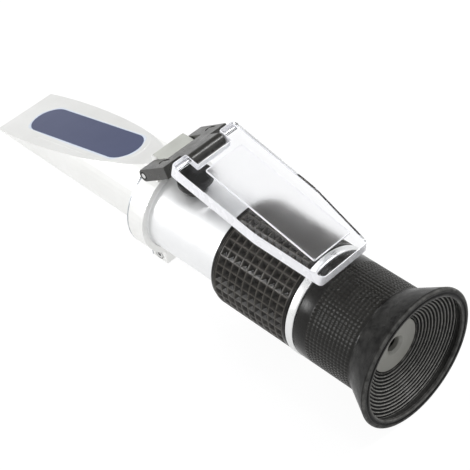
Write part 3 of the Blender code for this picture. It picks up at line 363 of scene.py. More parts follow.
class Look:
    """A Principled material with its noise, wear and bump wired up node by node."""

    def __init__(self, name):
        self.material = bpy.data.materials.new(name)
        self.material.use_nodes = True
        self.tree = self.material.node_tree
        self.shader = self.tree.nodes["Principled BSDF"]
        self.place = self.node("ShaderNodeTexCoord").outputs["Object"]

    def node(self, kind, **settings):
        made = self.tree.nodes.new(kind)
        for key, value in settings.items():
            setattr(made, key, value)
        return made

    def join(self, source, target):
        self.tree.links.new(source, target)

    def set(self, **values):
        for key, value in values.items():
            self.shader.inputs[key.replace("_", " ")].default_value = value

    def stretched(self, scale):
        """Object coordinates stretched by a factor per axis."""
        made = self.node("ShaderNodeMapping")
        made.inputs["Scale"].default_value = scale
        self.join(self.place, made.inputs["Vector"])
        return made.outputs["Vector"]

    def noise(self, scale, detail=3.0, rough=0.55, vector=None):
        made = self.node("ShaderNodeTexNoise")
        made.inputs["Scale"].default_value = scale
        made.inputs["Detail"].default_value = detail
        made.inputs["Roughness"].default_value = rough
        self.join(vector or self.place, made.inputs["Vector"])
        return made.outputs["Fac"]

    def ranged(self, value, low, high, start=0.3, end=0.7):
        made = self.node("ShaderNodeMapRange")
        made.inputs["From Min"].default_value = start
        made.inputs["From Max"].default_value = end
        made.inputs["To Min"].default_value = low
        made.inputs["To Max"].default_value = high
        self.join(value, made.inputs["Value"])
        return made.outputs["Result"]

    def mixed(self, factor, first, second):
        """Blend two colours, each a tuple or a socket."""
        made = self.node("ShaderNodeMix", data_type="RGBA")
        self.join(factor, made.inputs["Factor"])
        for value, socket in ((first, made.inputs["A"]), (second, made.inputs["B"])):
            if isinstance(value, tuple):
                socket.default_value = (*value, 1.0)
            else:
                self.join(value, socket)
        return made.outputs["Result"]

    def attribute(self, name):
        return self.node("ShaderNodeAttribute", attribute_name=name).outputs["Fac"]

    def times(self, first, second):
        made = self.node("ShaderNodeMath", operation="MULTIPLY")
        self.join(first, made.inputs[0])
        self.join(second, made.inputs[1])
        return made.outputs["Value"]

    def colour(self, value):
        self.join(value, self.shader.inputs["Base Color"])

    def roughness(self, value):
        self.join(value, self.shader.inputs["Roughness"])

    def bump(self, height, strength, distance, under=None):
        made = self.node("ShaderNodeBump")
        made.inputs["Strength"].default_value = strength
        made.inputs["Distance"].default_value = distance
        self.join(height, made.inputs["Height"])
        if under:
            self.join(under, made.inputs["Normal"])
        self.join(made.outputs["Normal"], self.shader.inputs["Normal"])
        return made.outputs["Normal"]

    def clear_to(self, share, tint):
        """Let shadow and diffuse rays through, or clear plastic blackens what is under it."""
        path = self.node("ShaderNodeLightPath")
        either = self.node("ShaderNodeMath", operation="MAXIMUM")
        self.join(path.outputs["Is Shadow Ray"], either.inputs[0])
        self.join(path.outputs["Is Diffuse Ray"], either.inputs[1])
        part = self.node("ShaderNodeMath", operation="MULTIPLY")
        part.inputs[1].default_value = share
        self.join(either.outputs["Value"], part.inputs[0])
        through = self.node("ShaderNodeBsdfTransparent")
        through.inputs["Color"].default_value = (*tint, 1.0)
        own, past = self.shader.outputs["BSDF"], through.outputs["BSDF"]
        blend(self.tree, part.outputs["Value"], own, past)


def rubber(name, dark, light, crest, rough, grain_scale, grain_depth, gloss, crest_from=0.0):
    """Black moulded rubber or plastic: grain, uneven sheen, wear and painted highlight on crests
    and edges.
    """
    look = Look(name)
    look.set(Specular_IOR_Level=gloss)
    patches = look.ranged(look.noise(180, 4), 0.0, 1.0)
    base = look.mixed(patches, dark, light)
    # Crests and edges take the crest colour: partly wear, partly painted highlight
    crests = look.ranged(look.attribute("crest"), 0.0, 1.0, crest_from, 1.0)
    painted_sheen_and_wear = look.times(crests, look.ranged(look.noise(900, 3), 0.55, 1.0))
    base = look.mixed(painted_sheen_and_wear, base, crest)
    edge = look.times(look.attribute("edge"), look.ranged(look.noise(500, 3), 0.1, 0.55))
    look.colour(look.mixed(edge, base, crest))
    look.roughness(look.ranged(look.noise(420, 4), rough - 0.07, rough + 0.08))
    look.bump(look.noise(grain_scale, 2, 0.6), 0.35, grain_depth)
    return look


BLAST_DEPTH, EDGE_SHINE = 0.000006, 1.08
# Fade of the painted shade on a top; width and fade of a line of painted shade at a seam
TOP_SHADE_FADE, SEAM_WIDTH, SEAM_FADE = 0.0002, 0.00065, 0.0001


def metal(name, low, high, rough, metallic, turned=None, top=None, seam=None):
    """Satin metal with a blasted grain, and fine turning marks where a stretch is given for them.

    top holds a height and the colour of the painted shade above it. seam holds the X at which a
    line of painted shade begins, and its colour.
    """
    look = Look(name)
    base = look.mixed(look.ranged(look.noise(70, 4), 0.0, 1.0), low, high)
    # Painted shade: above the height the metal is painted darker, for the top of the clamp's boss
    if top:
        start, tone = top
        height = look.node("ShaderNodeSeparateXYZ")
        look.join(look.place, height.inputs["Vector"])
        top_shade = look.ranged(height.outputs["Z"], 0.0, 1.0, start, start + TOP_SHADE_FADE)
        top_shade = look.times(top_shade, look.ranged(look.noise(900, 3), 0.9, 1.0))
        base = look.mixed(top_shade, base, tone)
    # Painted shade: a thin dark line along the front bevel, kept off the front face itself
    if seam:
        start, tone = seam
        along = look.node("ShaderNodeSeparateXYZ")
        look.join(look.place, along.inputs["Vector"])
        run = along.outputs["X"]
        seam_shade = look.ranged(run, 1.0, 0.0, start + SEAM_WIDTH / 2, start + SEAM_WIDTH)
        seam_shade = look.times(seam_shade, look.ranged(run, 0.0, 1.0, start, start + SEAM_FADE))
        seam_shade = look.times(seam_shade, look.ranged(look.noise(700, 3), 0.6, 1.0))
        base = look.mixed(seam_shade, base, tone)
    # Edges painted brighter: partly wear, partly painted highlight
    bright = tuple(min(1.0, c * EDGE_SHINE) for c in high)
    edge = look.times(look.attribute("edge"), look.ranged(look.noise(600, 3), 0.1, 0.6))
    look.colour(look.mixed(edge, base, bright))
    look.set(Metallic=metallic)
    look.roughness(look.ranged(look.noise(260, 4), rough - 0.05, rough + 0.06))
    blast = look.bump(look.noise(5200, 2, 0.6), 0.25, BLAST_DEPTH)
    if turned:
        look.bump(look.noise(1.0, 2, 0.5, look.stretched(turned)), 0.2, BLAST_DEPTH, blast)
    return look


# Ridge colour: partly wear, partly painted highlight
GRIP_LOOK = rubber(
    "grip_rubber", (0.004, 0.0038, 0.0035), (0.007, 0.0066, 0.0062), (0.110, 0.101, 0.089),
    rough=0.22, grain_scale=5200, grain_depth=0.000006, gloss=0.15, crest_from=0.74,
)
# Painted highlight on the rib crests, the lip and the edges, in the crest colour
CUP_LOOK = rubber(
    "cup_rubber", (0.003, 0.003, 0.003), (0.006, 0.006, 0.0057), (0.440, 0.432, 0.410),
    rough=0.30, grain_scale=6000, grain_depth=0.00001, gloss=0.05,
)
SLEEVE_LOOK = rubber(
    "sleeve_plastic", (0.005, 0.0048, 0.0045), (0.008, 0.0076, 0.0070), (0.020, 0.019, 0.0165),
    rough=0.26, grain_scale=5200, grain_depth=0.000006, gloss=0.19,
)
CAP_LOOK = rubber(
    "cap_rubber", (0.009, 0.009, 0.009), (0.014, 0.0135, 0.013), (0.040, 0.039, 0.036),
    rough=0.40, grain_scale=5200, grain_depth=0.000012, gloss=0.22,
)
BRACKET_LOOK = rubber(
    "bracket_plastic", (0.012, 0.0115, 0.0100), (0.021, 0.020, 0.0178), (0.075, 0.072, 0.064),
    rough=0.30, grain_scale=4200, grain_depth=0.00001, gloss=0.42,
)
TUBE_MARKS, BRASS_MARKS, PIN_MARKS = (5200, 60, 60), (6000, 80, 80), (80, 6000, 80)
BARREL_LOOK = metal("satin_white", (0.82, 0.825, 0.83), (0.88, 0.885, 0.89), 0.42, 0.70, TUBE_MARKS)
RING_LOOK = metal("satin_ring", (0.70, 0.705, 0.70), (0.78, 0.785, 0.78), 0.30, 0.80, TUBE_MARKS)
BRASS_LOOK = metal("turned_brass", (0.52, 0.41, 0.20), (0.66, 0.53, 0.28), 0.32, 1.0, BRASS_MARKS)
STEEL_LOOK = metal("turned_steel", (0.58, 0.58, 0.58), (0.72, 0.72, 0.71), 0.28, 1.0, PIN_MARKS)
DISC_LOOK = metal("grey_paint", (0.235, 0.232, 0.208), (0.27, 0.267, 0.243), 0.5, 0.05)
CAST_LOW, CAST_HIGH, CAST_ROUGH, CAST_METALLIC = (0.82, 0.82, 0.80), (0.88, 0.88, 0.865), 0.36, 0.6
CAST_LOOK = metal("satin_cast", CAST_LOW, CAST_HIGH, CAST_ROUGH, CAST_METALLIC)
CLAMP_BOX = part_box("clamp_collar")
# Painted shade on the top of the clamp's boss and along its front edge, with their colours
BOSS_TOP, BOSS_SHADE_TONE, SEAM_SHADE_TONE = CLAMP_BOX[1].z - 0.0003, (0.66, 0.67, 0.62), (0.24, 0.27, 0.31)
CLAMP_LOOK = metal(
    "satin_clamp", CAST_LOW, CAST_HIGH, CAST_ROUGH, CAST_METALLIC,
    top=(BOSS_TOP, BOSS_SHADE_TONE), seam=(CLAMP_BOX[0].x, SEAM_SHADE_TONE),
)


def glass(name, tint, rough, ior, share=1.0, grain=None):
    """Clear plastic or glass, frosted where a grain is given."""
    look = Look(name)
    darker = tuple(c * 0.985 for c in tint)
    look.colour(look.mixed(look.ranged(look.noise(120, 3), 0.0, 1.0), tint, darker))
    look.set(IOR=ior, Transmission_Weight=1.0)
    look.roughness(look.ranged(look.noise(200, 3), rough * 0.85, rough * 1.15))
    if grain:
        look.bump(look.noise(grain, 3, 0.65), 0.8, 0.00006)
    look.clear_to(share, tint)
    return look


CLEAR_LOOK = glass("clear_acrylic", (0.985, 0.988, 0.998), 0.012, ior=1.43)
CLEAR_LOOK.set(Specular_IOR_Level=0.1)
FROST_LOOK = glass("frosted_acrylic", (0.99, 0.99, 0.995), 0.34, ior=1.20, share=0.92, grain=1700)
FROST_LOOK.set(Specular_IOR_Level=0.05)
LENS_LOOK = glass("lens_glass", (0.93, 0.95, 0.96), 0.01, ior=1.52)
HAZE_LOOK = glass("coated_glass", (0.80, 0.81, 0.78), 0.10, ior=1.62)
HAZE_LOOK.set(Transmission_Weight=0.5)


def edge_plastic(name, tint, rough, through):
    """Polished rim of the acrylic: painted glow, almost opaque white for how it lights up in the
    studio.
    """
    look = Look(name)
    lines = look.noise(1.0, 3, 0.6, look.stretched((90, 90, 2600)))
    look.colour(look.mixed(look.ranged(lines, 0.0, 1.0), tint, tuple(c * 0.96 for c in tint)))
    look.set(Transmission_Weight=through, IOR=1.49)
    look.roughness(look.ranged(look.noise(300, 3), rough - 0.04, rough + 0.05))
    look.bump(lines, 0.1, 0.000006)
    look.clear_to(0.8, tint)
    return look


# Painted glow: the rims are almost opaque white
RIM_LOOK = edge_plastic("acrylic_edge", (0.965, 0.965, 0.99), 0.26, 0.05)
PANE_RIM_LOOK = edge_plastic("pane_edge", (0.93, 0.93, 0.95), 0.30, 0.05)


def window_look():
    look = Look("window_glass")
    clouds = look.ranged(look.noise(60, 3), 0.0, 1.0)
    look.colour(look.mixed(clouds, (0.046, 0.057, 0.118), (0.054, 0.066, 0.132)))
    look.roughness(look.ranged(look.noise(240, 3), 0.06, 0.10))
    look.set(IOR=1.52, Specular_IOR_Level=0.3)
    return look


def seal_look():
    """Pale resin beside the window, and the tone of the cast metal further out."""
    look = Look("pale_resin")
    clouds = look.ranged(look.noise(300, 3), 0.0, 1.0)
    inner = look.mixed(clouds, (0.50, 0.57, 0.70), (0.56, 0.63, 0.76))
    outer = look.mixed(look.ranged(look.noise(70, 4), 0.0, 1.0), CAST_LOW, CAST_HIGH)
    halo = look.ranged(look.attribute("crest"), 0.0, 1.0, 0.45, 1.0)
    look.colour(look.mixed(halo, outer, inner))
    look.join(look.ranged(halo, CAST_METALLIC, 0.0, 0.0, 1.0), look.shader.inputs["Metallic"])
    look.roughness(look.ranged(look.noise(260, 4), 0.31, 0.42))
    look.bump(look.noise(1800, 2), 0.1, 0.00001)
    return look


WINDOW_LOOK = window_look()
SEAL_LOOK = seal_look()

# ---- eyecup ----


def make_eyecup():
    """Rubber cone with rounded ribs inside, an inward lip and a thin groove in its rim."""
    floor, outer = (CUP_FLOOR_DEPTH, CUP_FLOOR_RADIUS), (CUP_BAND_DEPTH, CUP_BAND_RADIUS)
    slope = Vector((outer[0] - floor[0], outer[1] - floor[1]))
    normal = Vector((slope.y, -slope.x)).normalized()
    inside, crests = [], []
    total = CUP_RIBS * CUP_RIB_POINTS
    for i in range(total + 1):
        phase = math.tau * (i + CUP_RIB_POINTS / 2) / CUP_RIB_POINTS
        wave = (0.5 - 0.5 * math.cos(phase)) ** CUP_RIB_ROUNDNESS
        depth = CUP_RIB_HEIGHT * wave * (1 - CUP_RIB_TAPER * i / total)
        inside.append(tuple(Vector(floor) + slope * (i / total) + normal * depth))
        crests.append((1 - wave) ** CUP_CREST_FALL)
    seat = DISC_RADIUS + GAP
    seat_depth = CUP_FLOOR_DEPTH + DISC_THICKNESS + 2 * GAP
    start = [
        (CUP_PLUG_END, EYE_HOLE),
        (seat_depth, EYE_HOLE),
        (seat_depth, seat),
        (CUP_FLOOR_DEPTH, seat),
    ]
    front = rounded(
        [
            (CUP_BAND_DEPTH - CUP_BAND_STEP, CUP_BAND_RADIUS + CUP_BAND_STEP, 0.0001),
            (CUP_LIP_DEPTH, CUP_BAND_RADIUS + CUP_BAND_STEP, 0.0002),
            (CUP_LIP_DEPTH, CUP_LIP_RADIUS, 0.00035),
            (0, CUP_LIP_RADIUS, 0.00030),
            (0, CUP_LIP_RADIUS + CUP_BEAD_WIDTH, 0.00015),
            (CUP_GROOVE_DEPTH, CUP_LIP_RADIUS + CUP_BEAD_WIDTH + CUP_GROOVE_FLANK, 0.0001),
            (CUP_GROOVE_DEPTH, CUP_RADIUS - CUP_BORDER_WIDTH - CUP_GROOVE_FLANK, 0.0001),
            (0, CUP_RADIUS - CUP_BORDER_WIDTH, 0.00015),
            (0, CUP_RADIUS, 0.00050),
            (CUP_EDGE_WIDTH, CUP_RADIUS, 0.0004),
            (CUP_DEPTH, SLEEVE_RADIUS, 0.0002),
            (CUP_DEPTH, CUP_PLUG_RADIUS),
            (CUP_PLUG_END, CUP_PLUG_RADIUS),
            (CUP_PLUG_END, EYE_HOLE),
        ]
    )
    outline = start + inside + front[:-1]
    shape = spun(outline, even(168))

    # Painted highlight: rib crests, and the lip and the band behind it, are marked for the crest
    # colour
    def paint(whole):
        crest = whole.verts.layers.float.new("crest")
        for index, vert in enumerate(whole.verts):
            k = index % len(outline) - len(start)
            depth, radius = outline[index % len(outline)]
            on_lip = depth < CUP_LIP_DEPTH and abs(radius - CUP_LIP_RADIUS) < 0.0004
            behind = CUP_LIP_DEPTH <= depth <= CUP_BAND_DEPTH and radius > CUP_LIP_RADIUS - 0.0002
            within = radius < CUP_RADIUS - CUP_BORDER_WIDTH
            painted_sheen_and_wear = CUP_LIP_SHEEN if on_lip or behind and within else 0.0
            vert[crest] = crests[k] if 0 <= k <= total else painted_sheen_and_wear

    piece("eyecup_rubber", shape, [CUP_LOOK], "focus_ring", ["eyecup"], paint=paint)


def make_disc():
    near, far = CUP_FLOOR_DEPTH + GAP, CUP_FLOOR_DEPTH + GAP + DISC_THICKNESS
    outline = rounded(
        [
            (far, DISC_HOLE),
            (far - DISC_LAND, DISC_HOLE, 0.0001),
            (near, DISC_MOUTH, 0.0003),
            (near, DISC_RADIUS, 0.0002),
            (far, DISC_RADIUS),
        ]
    )
    shape = spun(outline, even(96))
    piece("aperture_disc_turned", shape, [DISC_LOOK], "focus_ring", ["aperture_disc"])


# ---- sleeve, ring, grip and barrel ----


def make_sleeve():
    """Focus sleeve with grooves both ways between its studs, a faint line and a plain band."""
    outline = [(SLEEVE_START, SLEEVE_BORE), (SLEEVE_START, SLEEVE_RADIUS - 0.00015)]
    first = len(outline)
    for k in range(STUD_COLUMNS):
        for share in (0, STUD_EDGE_SHARE, 1 - STUD_EDGE_SHARE):
            outline.append((STUD_START + (k + share) * STUD_PITCH, SLEEVE_RADIUS))
    band = STUD_START + STUD_COLUMNS * STUD_PITCH
    outline.append((band, SLEEVE_RADIUS))
    last = len(outline) - 1
    outline.append((band + 0.00012, SLEEVE_RADIUS - 0.00002))
    corners = [
        (band + 0.0003, SLEEVE_RADIUS),
        (SLEEVE_END, SLEEVE_RADIUS, 0.00025),
        (SLEEVE_END, OVER_BARREL),
    ]
    outline += rounded(corners, 3)
    bore_end = SLEEVE_START + SLEEVE_BORE_DEPTH
    outline += [(bore_end, OVER_BARREL), (bore_end, SLEEVE_BORE)]
    shares = (0, STUD_EDGE_SHARE, 1 - STUD_EDGE_SHARE)
    angles = [math.tau / STUD_ROWS * (m + share) for m in range(STUD_ROWS) for share in shares]

    def relief(i, j):
        in_groove = first <= i < last and ((i - first) % 3 == 0 or j % 3 == 0)
        return STUD_GROOVE_DEPTH if in_groove else 0.0

    shape = spun(outline, angles, relief)

    # Stud tops painted paler than the grooves: partly wear, partly painted highlight
    def paint(whole):
        crest = whole.verts.layers.float.new("crest")
        for index, vert in enumerate(whole.verts):
            i, j = index % len(outline), index // len(outline)
            vert[crest] = 1.0 if first <= i <= last and relief(i, j) == 0 else 0.15

    piece(
        "focus_sleeve_knurled",
        shape,
        [SLEEVE_LOOK],
        "focus_ring",
        ["focus_sleeve"],
        sharp=math.radians(50),
        paint=paint,
    )


def make_ring():
    outline = rounded(
        [
            (RING_START, OVER_BARREL),
            (RING_START, RING_RADIUS, RING_ROUND),
            (RING_END, RING_RADIUS, RING_ROUND),
            (RING_END, OVER_BARREL),
        ],
        5,
    )
    shape = spun(outline, even(144))
    piece("collar_ring_turned", shape, [RING_LOOK], "tube", ["collar_ring"])


def make_grip():
    """Rubber grip with a waffle of pyramid pits, a thin line and a stepped end."""
    half = WAFFLE_RIDGE / 2
    corners = [
        (GRIP_START, OVER_BARREL),
        (GRIP_START, GRIP_RADIUS, 0.0002),
        (WAFFLE_START - half, GRIP_RADIUS),
    ]
    outline = rounded(corners, 3)[:-1]
    first = len(outline)
    for k in range(WAFFLE_COLUMNS + 1):
        ridge = WAFFLE_START + k * WAFFLE_PITCH
        outline += [(ridge - half, GRIP_RADIUS), (ridge + half, GRIP_RADIUS)]
        if k < WAFFLE_COLUMNS:
            outline.append((ridge + WAFFLE_PITCH / 2, GRIP_RADIUS))
    last = len(outline) - 1
    edge = outline[-1][0]
    lip = GRIP_END - GRIP_LIP_WIDTH
    line = GRIP_RADIUS - GRIP_LINE_DEPTH
    outline += [(edge + 0.0001, line), (edge + 0.00022, line)]
    outline += rounded(
        [
            (edge + 0.0003, GRIP_RADIUS - 0.0001),
            (lip - 0.0002, GRIP_RADIUS, 0.00012),
            (lip, GRIP_LIP_RADIUS, 0.0001),
            (GRIP_END, GRIP_LIP_RADIUS, 0.0003),
            (GRIP_END, OVER_BARREL),
        ],
        3,
    )
    step = math.tau / WAFFLE_ROWS
    half_turn = half / GRIP_RADIUS
    angles = []
    for m in range(WAFFLE_ROWS):
        ridge = WAFFLE_PHASE + m * step
        angles += [ridge - half_turn, ridge + half_turn, ridge + step / 2]

    def relief(i, j):
        pit = first <= i <= last and (i - first) % 3 == 2 and j % 3 == 2
        return WAFFLE_DEPTH if pit else 0.0

    shape = spun(outline, angles, relief)

    # Ridges and the step painted paler: partly wear, partly painted highlight
    def paint(whole):
        crest = whole.verts.layers.float.new("crest")
        for index, vert in enumerate(whole.verts):
            i, j = index % len(outline), index // len(outline)
            on_ridge = first <= i <= last and ((i - first) % 3 != 2 or j % 3 != 2)
            on_step = abs(outline[i][0] - lip) < 0.0004 and outline[i][1] > GRIP_LIP_RADIUS + 0.0001
            vert[crest] = 0.9 if on_ridge or on_step else 0.1

    piece(
        "rubber_grip_waffle", shape, [GRIP_LOOK], "tube", ["rubber_grip"],
        sharp=math.radians(20), paint=paint,
    )


def make_barrel():
    """Main tube with a slightly wider seat under the clamp, in short rows for even shading."""
    run, steps = CLAMP_SEAT_START - BARREL_START, 24
    shares = [0.01 + 0.98 * i / steps for i in range(steps + 1)]
    rows = [(BARREL_START + run * share, BARREL_RADIUS) for share in shares]
    outline = rounded(
        [
            (BARREL_START, BARREL_BORE),
            (BARREL_START, BARREL_RADIUS, 0.0002),
            *rows,
            (CLAMP_SEAT_START, BARREL_RADIUS, 0.0001),
            (CLAMP_SEAT_START + 0.0002, CLAMP_SEAT_RADIUS, 0.0001),
            (BARREL_END, CLAMP_SEAT_RADIUS, 0.0002),
            (BARREL_END, BARREL_BORE),
        ]
    )
    shape = spun(outline, even(144))
    piece("barrel_turned", shape, [BARREL_LOOK], "tube", ["barrel_tube"])


def make_cap():
    """Round cap on a neck, whose lower rim follows the barrel's surface."""
    top = BARREL_RADIUS + CAP_HEIGHT
    under = top - CAP_DISC
    profile = [(CAP_RADIUS * 0.5, top)]
    profile += arc((CAP_RADIUS - CAP_ROUND, top - CAP_ROUND), CAP_ROUND, math.pi / 2, 0, 6)
    profile += arc((CAP_RADIUS - GAP, under + GAP), GAP, 0, -math.pi / 2, 4)
    profile += arc((CAP_NECK + GAP, under - GAP), GAP, math.pi / 2, math.pi, 4)
    shape = bmesh.new()
    steps = 72
    middle = Vector((at(CAP_PLACE), 0, AXIS_Z))
    rings = []
    for j in range(steps):
        way = Vector((math.cos(math.tau * j / steps), math.sin(math.tau * j / steps), 0))
        low = math.sqrt(OVER_BARREL**2 - (CAP_NECK * way.y) ** 2)
        levels = profile + [(CAP_NECK, low)]
        rings.append([shape.verts.new(middle + way * r + Vector((0, 0, z))) for r, z in levels])
    crown = shape.verts.new(middle + Vector((0, 0, top)))
    for j in range(steps):
        k = (j + 1) % steps
        shape.faces.new([crown, rings[j][0], rings[k][0]])
        for i in range(len(rings[j]) - 1):
            shape.faces.new([rings[j][i], rings[j][i + 1], rings[k][i + 1], rings[k][i]])
    shape.faces.new([ring[-1] for ring in rings])
    piece("calibration_cap_rubber", shape, [CAP_LOOK], "tube", ["calibration_cap"])


# ---- hinge, plate and seal ----


def make_bracket():
    """Arm pair with a web between them, the knuckle's tongue, both pins' bores and the slits."""
    place = tilted(SWING_PIN, ARM_SLOPE, 1)
    pin_end = arc((0, 0), ARM_HALF, math.pi / 2, 1.5 * math.pi, 14)
    knuckle_end = arc((KNUCKLE, 0), ARM_HALF, -math.pi / 2, math.pi / 2, 14)
    shape = crosswise(pin_end + knuckle_end, -ARM_OUTSIDE, ARM_OUTSIDE, place)
    past = 2 * ARM_HALF
    rake = ARM_SET_BACK / (2 * ARM_HALF)
    shoulder = [
        (ARM_END + rake * (past - ARM_HALF), past),
        (ARM_END - rake * (past + ARM_HALF), -past),
        (KNUCKLE + past, -past),
        (KNUCKLE + past, past),
    ]
    notch = [(-past, -past), (WEB_START, -past), (WEB_START, past), (-past, past)]
    tools = [
        crosswise(notch, -ARM_INSIDE, ARM_INSIDE, place),
        crosswise(shoulder, TONGUE_HALF, ARM_OUTSIDE + past, place),
        crosswise(shoulder, -ARM_OUTSIDE - past, -TONGUE_HALF, place),
        round_bar(0, 0, SWING_BORE, ARM_OUTSIDE + past, place),
        round_bar(KNUCKLE, 0, PLATE_BORE, ARM_OUTSIDE + past, place),
    ]
    shape = carved(shape, tools)
    soften(shape, BRACKET_EDGE, angle=math.radians(50))
    slit_floor = ARM_HALF - SLIT_DEPTH
    slits = [groove(path, SLIT_WIDTH, slit_floor, past, place) for path in (NEAR_SLIT, FAR_SLIT)]
    shape = carved(shape, slits)
    piece(
        "hinge_bracket_moulded",
        shape,
        [BRACKET_LOOK],
        "bracket",
        ["hinge_bracket"],
        level=True,
    )


def make_plate():
    """Clear plate with two ears beside a notch, flaring walls and a bore for its pin.

    Its far wall is as clear as its faces, because the photograph shows only a thin line there.
    """
    place = tilted(PLATE_PIN, PLATE_SLOPE, -1)
    outline = [
        (PLATE_ROOT, -ROOT_HALF, PLATE_CORNER),
        (PLATE_BEND, -BEND_HALF, PLATE_BEND_ROUND),
        (PLATE_TIP, -TIP_HALF, PLATE_CORNER),
        (PLATE_TIP, TIP_HALF, PLATE_CORNER),
        (PLATE_BEND, BEND_HALF, PLATE_BEND_ROUND),
        (PLATE_ROOT, ROOT_HALF, PLATE_CORNER),
        (PLATE_ROOT, NOTCH_HALF, 0.0006),
        (NOTCH_END, NOTCH_HALF, 0.0003),
        (NOTCH_END, -NOTCH_HALF, 0.0003),
        (PLATE_ROOT, -NOTCH_HALF, 0.0006),
    ]
    shape = slab(rounded(outline, 5), PLATE_LOW, PLATE_HIGH, Matrix(), PLATE_EDGE)
    for vert in shape.verts:
        if abs(vert.co.y) > (NOTCH_HALF + TIP_HALF) / 2:
            share = (PLATE_HIGH - vert.co.z) / (PLATE_HIGH - PLATE_LOW)
            vert.co.y += math.copysign(PLATE_DRAFT * share, vert.co.y)
    shape = carved(shape, [round_bar(0, 0, PLATE_BORE, EAR_BORE_END, Matrix())])
    bmesh.ops.recalc_face_normals(shape, faces=shape.faces)
    for face in shape.faces:
        middle = face.calc_center_median()
        in_bore = abs(face.normal.y) < 0.1 and math.hypot(*middle.xz) < PLATE_BORE * 1.05
        far_wall = face.normal.y > 0.7 and middle.y > TIP_HALF
        face.material_index = 0 if abs(face.normal.z) > LEVEL_FACE or in_bore or far_wall else 1
    bmesh.ops.transform(shape, matrix=place, verts=shape.verts)
    looks, nodes = [CLEAR_LOOK, RIM_LOOK], ["daylight_plate"]
    piece("daylight_plate_clear", shape, looks, "plate", nodes, level=True)


def make_pane():
    """Frosted pane that stands a little proud of the plate."""
    place = tilted(PLATE_PIN, PLATE_SLOPE, -1)
    outline = [
        (PANE_START, -PANE_HALF, PANE_CORNER),
        (PANE_END, -PANE_HALF, PANE_CORNER),
        (PANE_END, PANE_HALF, PANE_CORNER),
        (PANE_START, PANE_HALF, PANE_CORNER),
    ]
    shape = slab(rounded(outline, 5), PANE_LOW, PANE_HIGH, Matrix(), PANE_EDGE)
    bmesh.ops.recalc_face_normals(shape, faces=shape.faces)
    for face in shape.faces:
        face.material_index = 0 if abs(face.normal.z) > LEVEL_FACE else 1
    bmesh.ops.transform(shape, matrix=place, verts=shape.verts)
    looks, nodes = [FROST_LOOK, PANE_RIM_LOOK], ["frosted_pane"]
    piece("frosted_pane_raised", shape, looks, "plate", nodes, level=True)


def make_seal():
    """Bead in the groove between the window and the face, with a thin lip over the face."""
    place = tilted((TIP_X, FACE_Z), FACE_SLOPE, 1)
    inner, outer = SEAL_SLACK, SEAL_WIDTH + 2 * GAP + SEAL_LIP
    rings = []
    for grow in (outer, inner):
        half = WINDOW_HALF + grow
        low = arc((WINDOW_START + WINDOW_HALF, 0), half, math.pi / 2, 1.5 * math.pi, 24)
        rings.append(low + arc((WINDOW_END - WINDOW_HALF, 0), half, -math.pi / 2, math.pi / 2, 24))
    shape = slab(rings[0], -SEAL_DEPTH, SEAL_RISE, place)
    hole = slab(rings[1], -2 * SEAL_DEPTH, SEAL_DEPTH, place)
    shape = carved(shape, [hole])
    soften(shape, SEAL_EDGE, 1)
    half = WINDOW_HALF + SEAL_HALO
    back = place.inverted()

    def paint(whole):
        crest = whole.verts.layers.float.new("crest")
        for vert in whole.verts:
            u, v, _ = back @ vert.co
            past = max(WINDOW_START + WINDOW_HALF - u, u - WINDOW_END + WINDOW_HALF, 0)
            vert[crest] = 1.0 if math.hypot(past, v) < half else 0.0

    piece("prism_seal_bead", shape, [SEAL_LOOK], "tube", ["prism_seal"], paint=paint)


make_eyecup()
make_disc()
make_sleeve()
make_ring()
make_grip()
make_barrel()
make_cap()
make_bracket()
make_plate()
make_pane()
make_seal()

# ---- CAD nodes that keep their shape ----

KEPT = {
    "lens_tube": BRASS_LOOK,
    "lens_spacer": BRASS_LOOK,
    "lens_retainer": BRASS_LOOK,
    "reticle_ring": BRASS_LOOK,
    "objective_cell": BRASS_LOOK,
    "eye_lens": HAZE_LOOK,
    "field_lens": LENS_LOOK,
    "scale_reticle": LENS_LOOK,
    "objective_lens": LENS_LOOK,
    "guide_key": STEEL_LOOK,
    "calibration_screw": STEEL_LOOK,
    "clamp_screw": STEEL_LOOK,
    "swing_pin": STEEL_LOOK,
    "plate_pin": STEEL_LOOK,
    "clamp_collar": CLAMP_LOOK,
    "front_housing": CAST_LOOK,
    "main_prism": WINDOW_LOOK,
}
ROUNDED = {
    "clamp_collar": 0.0004,
    "front_housing": 0.0004,
    "main_prism": 0.00015,
    "swing_pin": 0.00015,
}
for node, look in KEPT.items():
    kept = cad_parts[node]
    kept.data.materials.clear()
    kept.data.materials.append(look.material)
    if node in ROUNDED:
        round_off = kept.modifiers.new("rounded_edges", "BEVEL")
        round_off.width = ROUNDED[node]
        round_off.segments = 3
        round_off.limit_method = "ANGLE"
        round_off.angle_limit = math.radians(35)
        round_off.use_clamp_overlap = True
        round_off.harden_normals = True

# ---- studio ----

WHITE = (1, 1, 1, 1)
FLOOR_REACH, FLOOR_PAINT, FLOOR_GLOW, FLOOR_GLOW_SHARE = 1.6, (0.86, 0.86, 0.86, 1.0), 1.06, 0.88
FILL_TONE, FILL = (0.97, 0.98, 1.0, 1), 0.55
# The dark patch of the world: its middle, where it begins and ends as cosines, and its level
SHADE_WAY, SHADE_START, SHADE_END, SHADE_LEVEL = (-0.50, 0.47, 0.73), 0.74, 0.92, 0.14
# Way, distance, side and power of each lamp
LAMPS = {
    "side_softbox": ((-0.56, -0.73, 0.40), 0.9, 0.20, 2.8),
    "top_softbox": ((-0.56, 0.12, 0.82), 0.9, 0.13, 1.3),
    "back_softbox": ((-0.20, 0.80, 0.55), 1.0, 0.30, 1.2),
    "cone_softbox": ((0.33, 0.45, 0.83), 0.9, 0.20, 3.6),
}
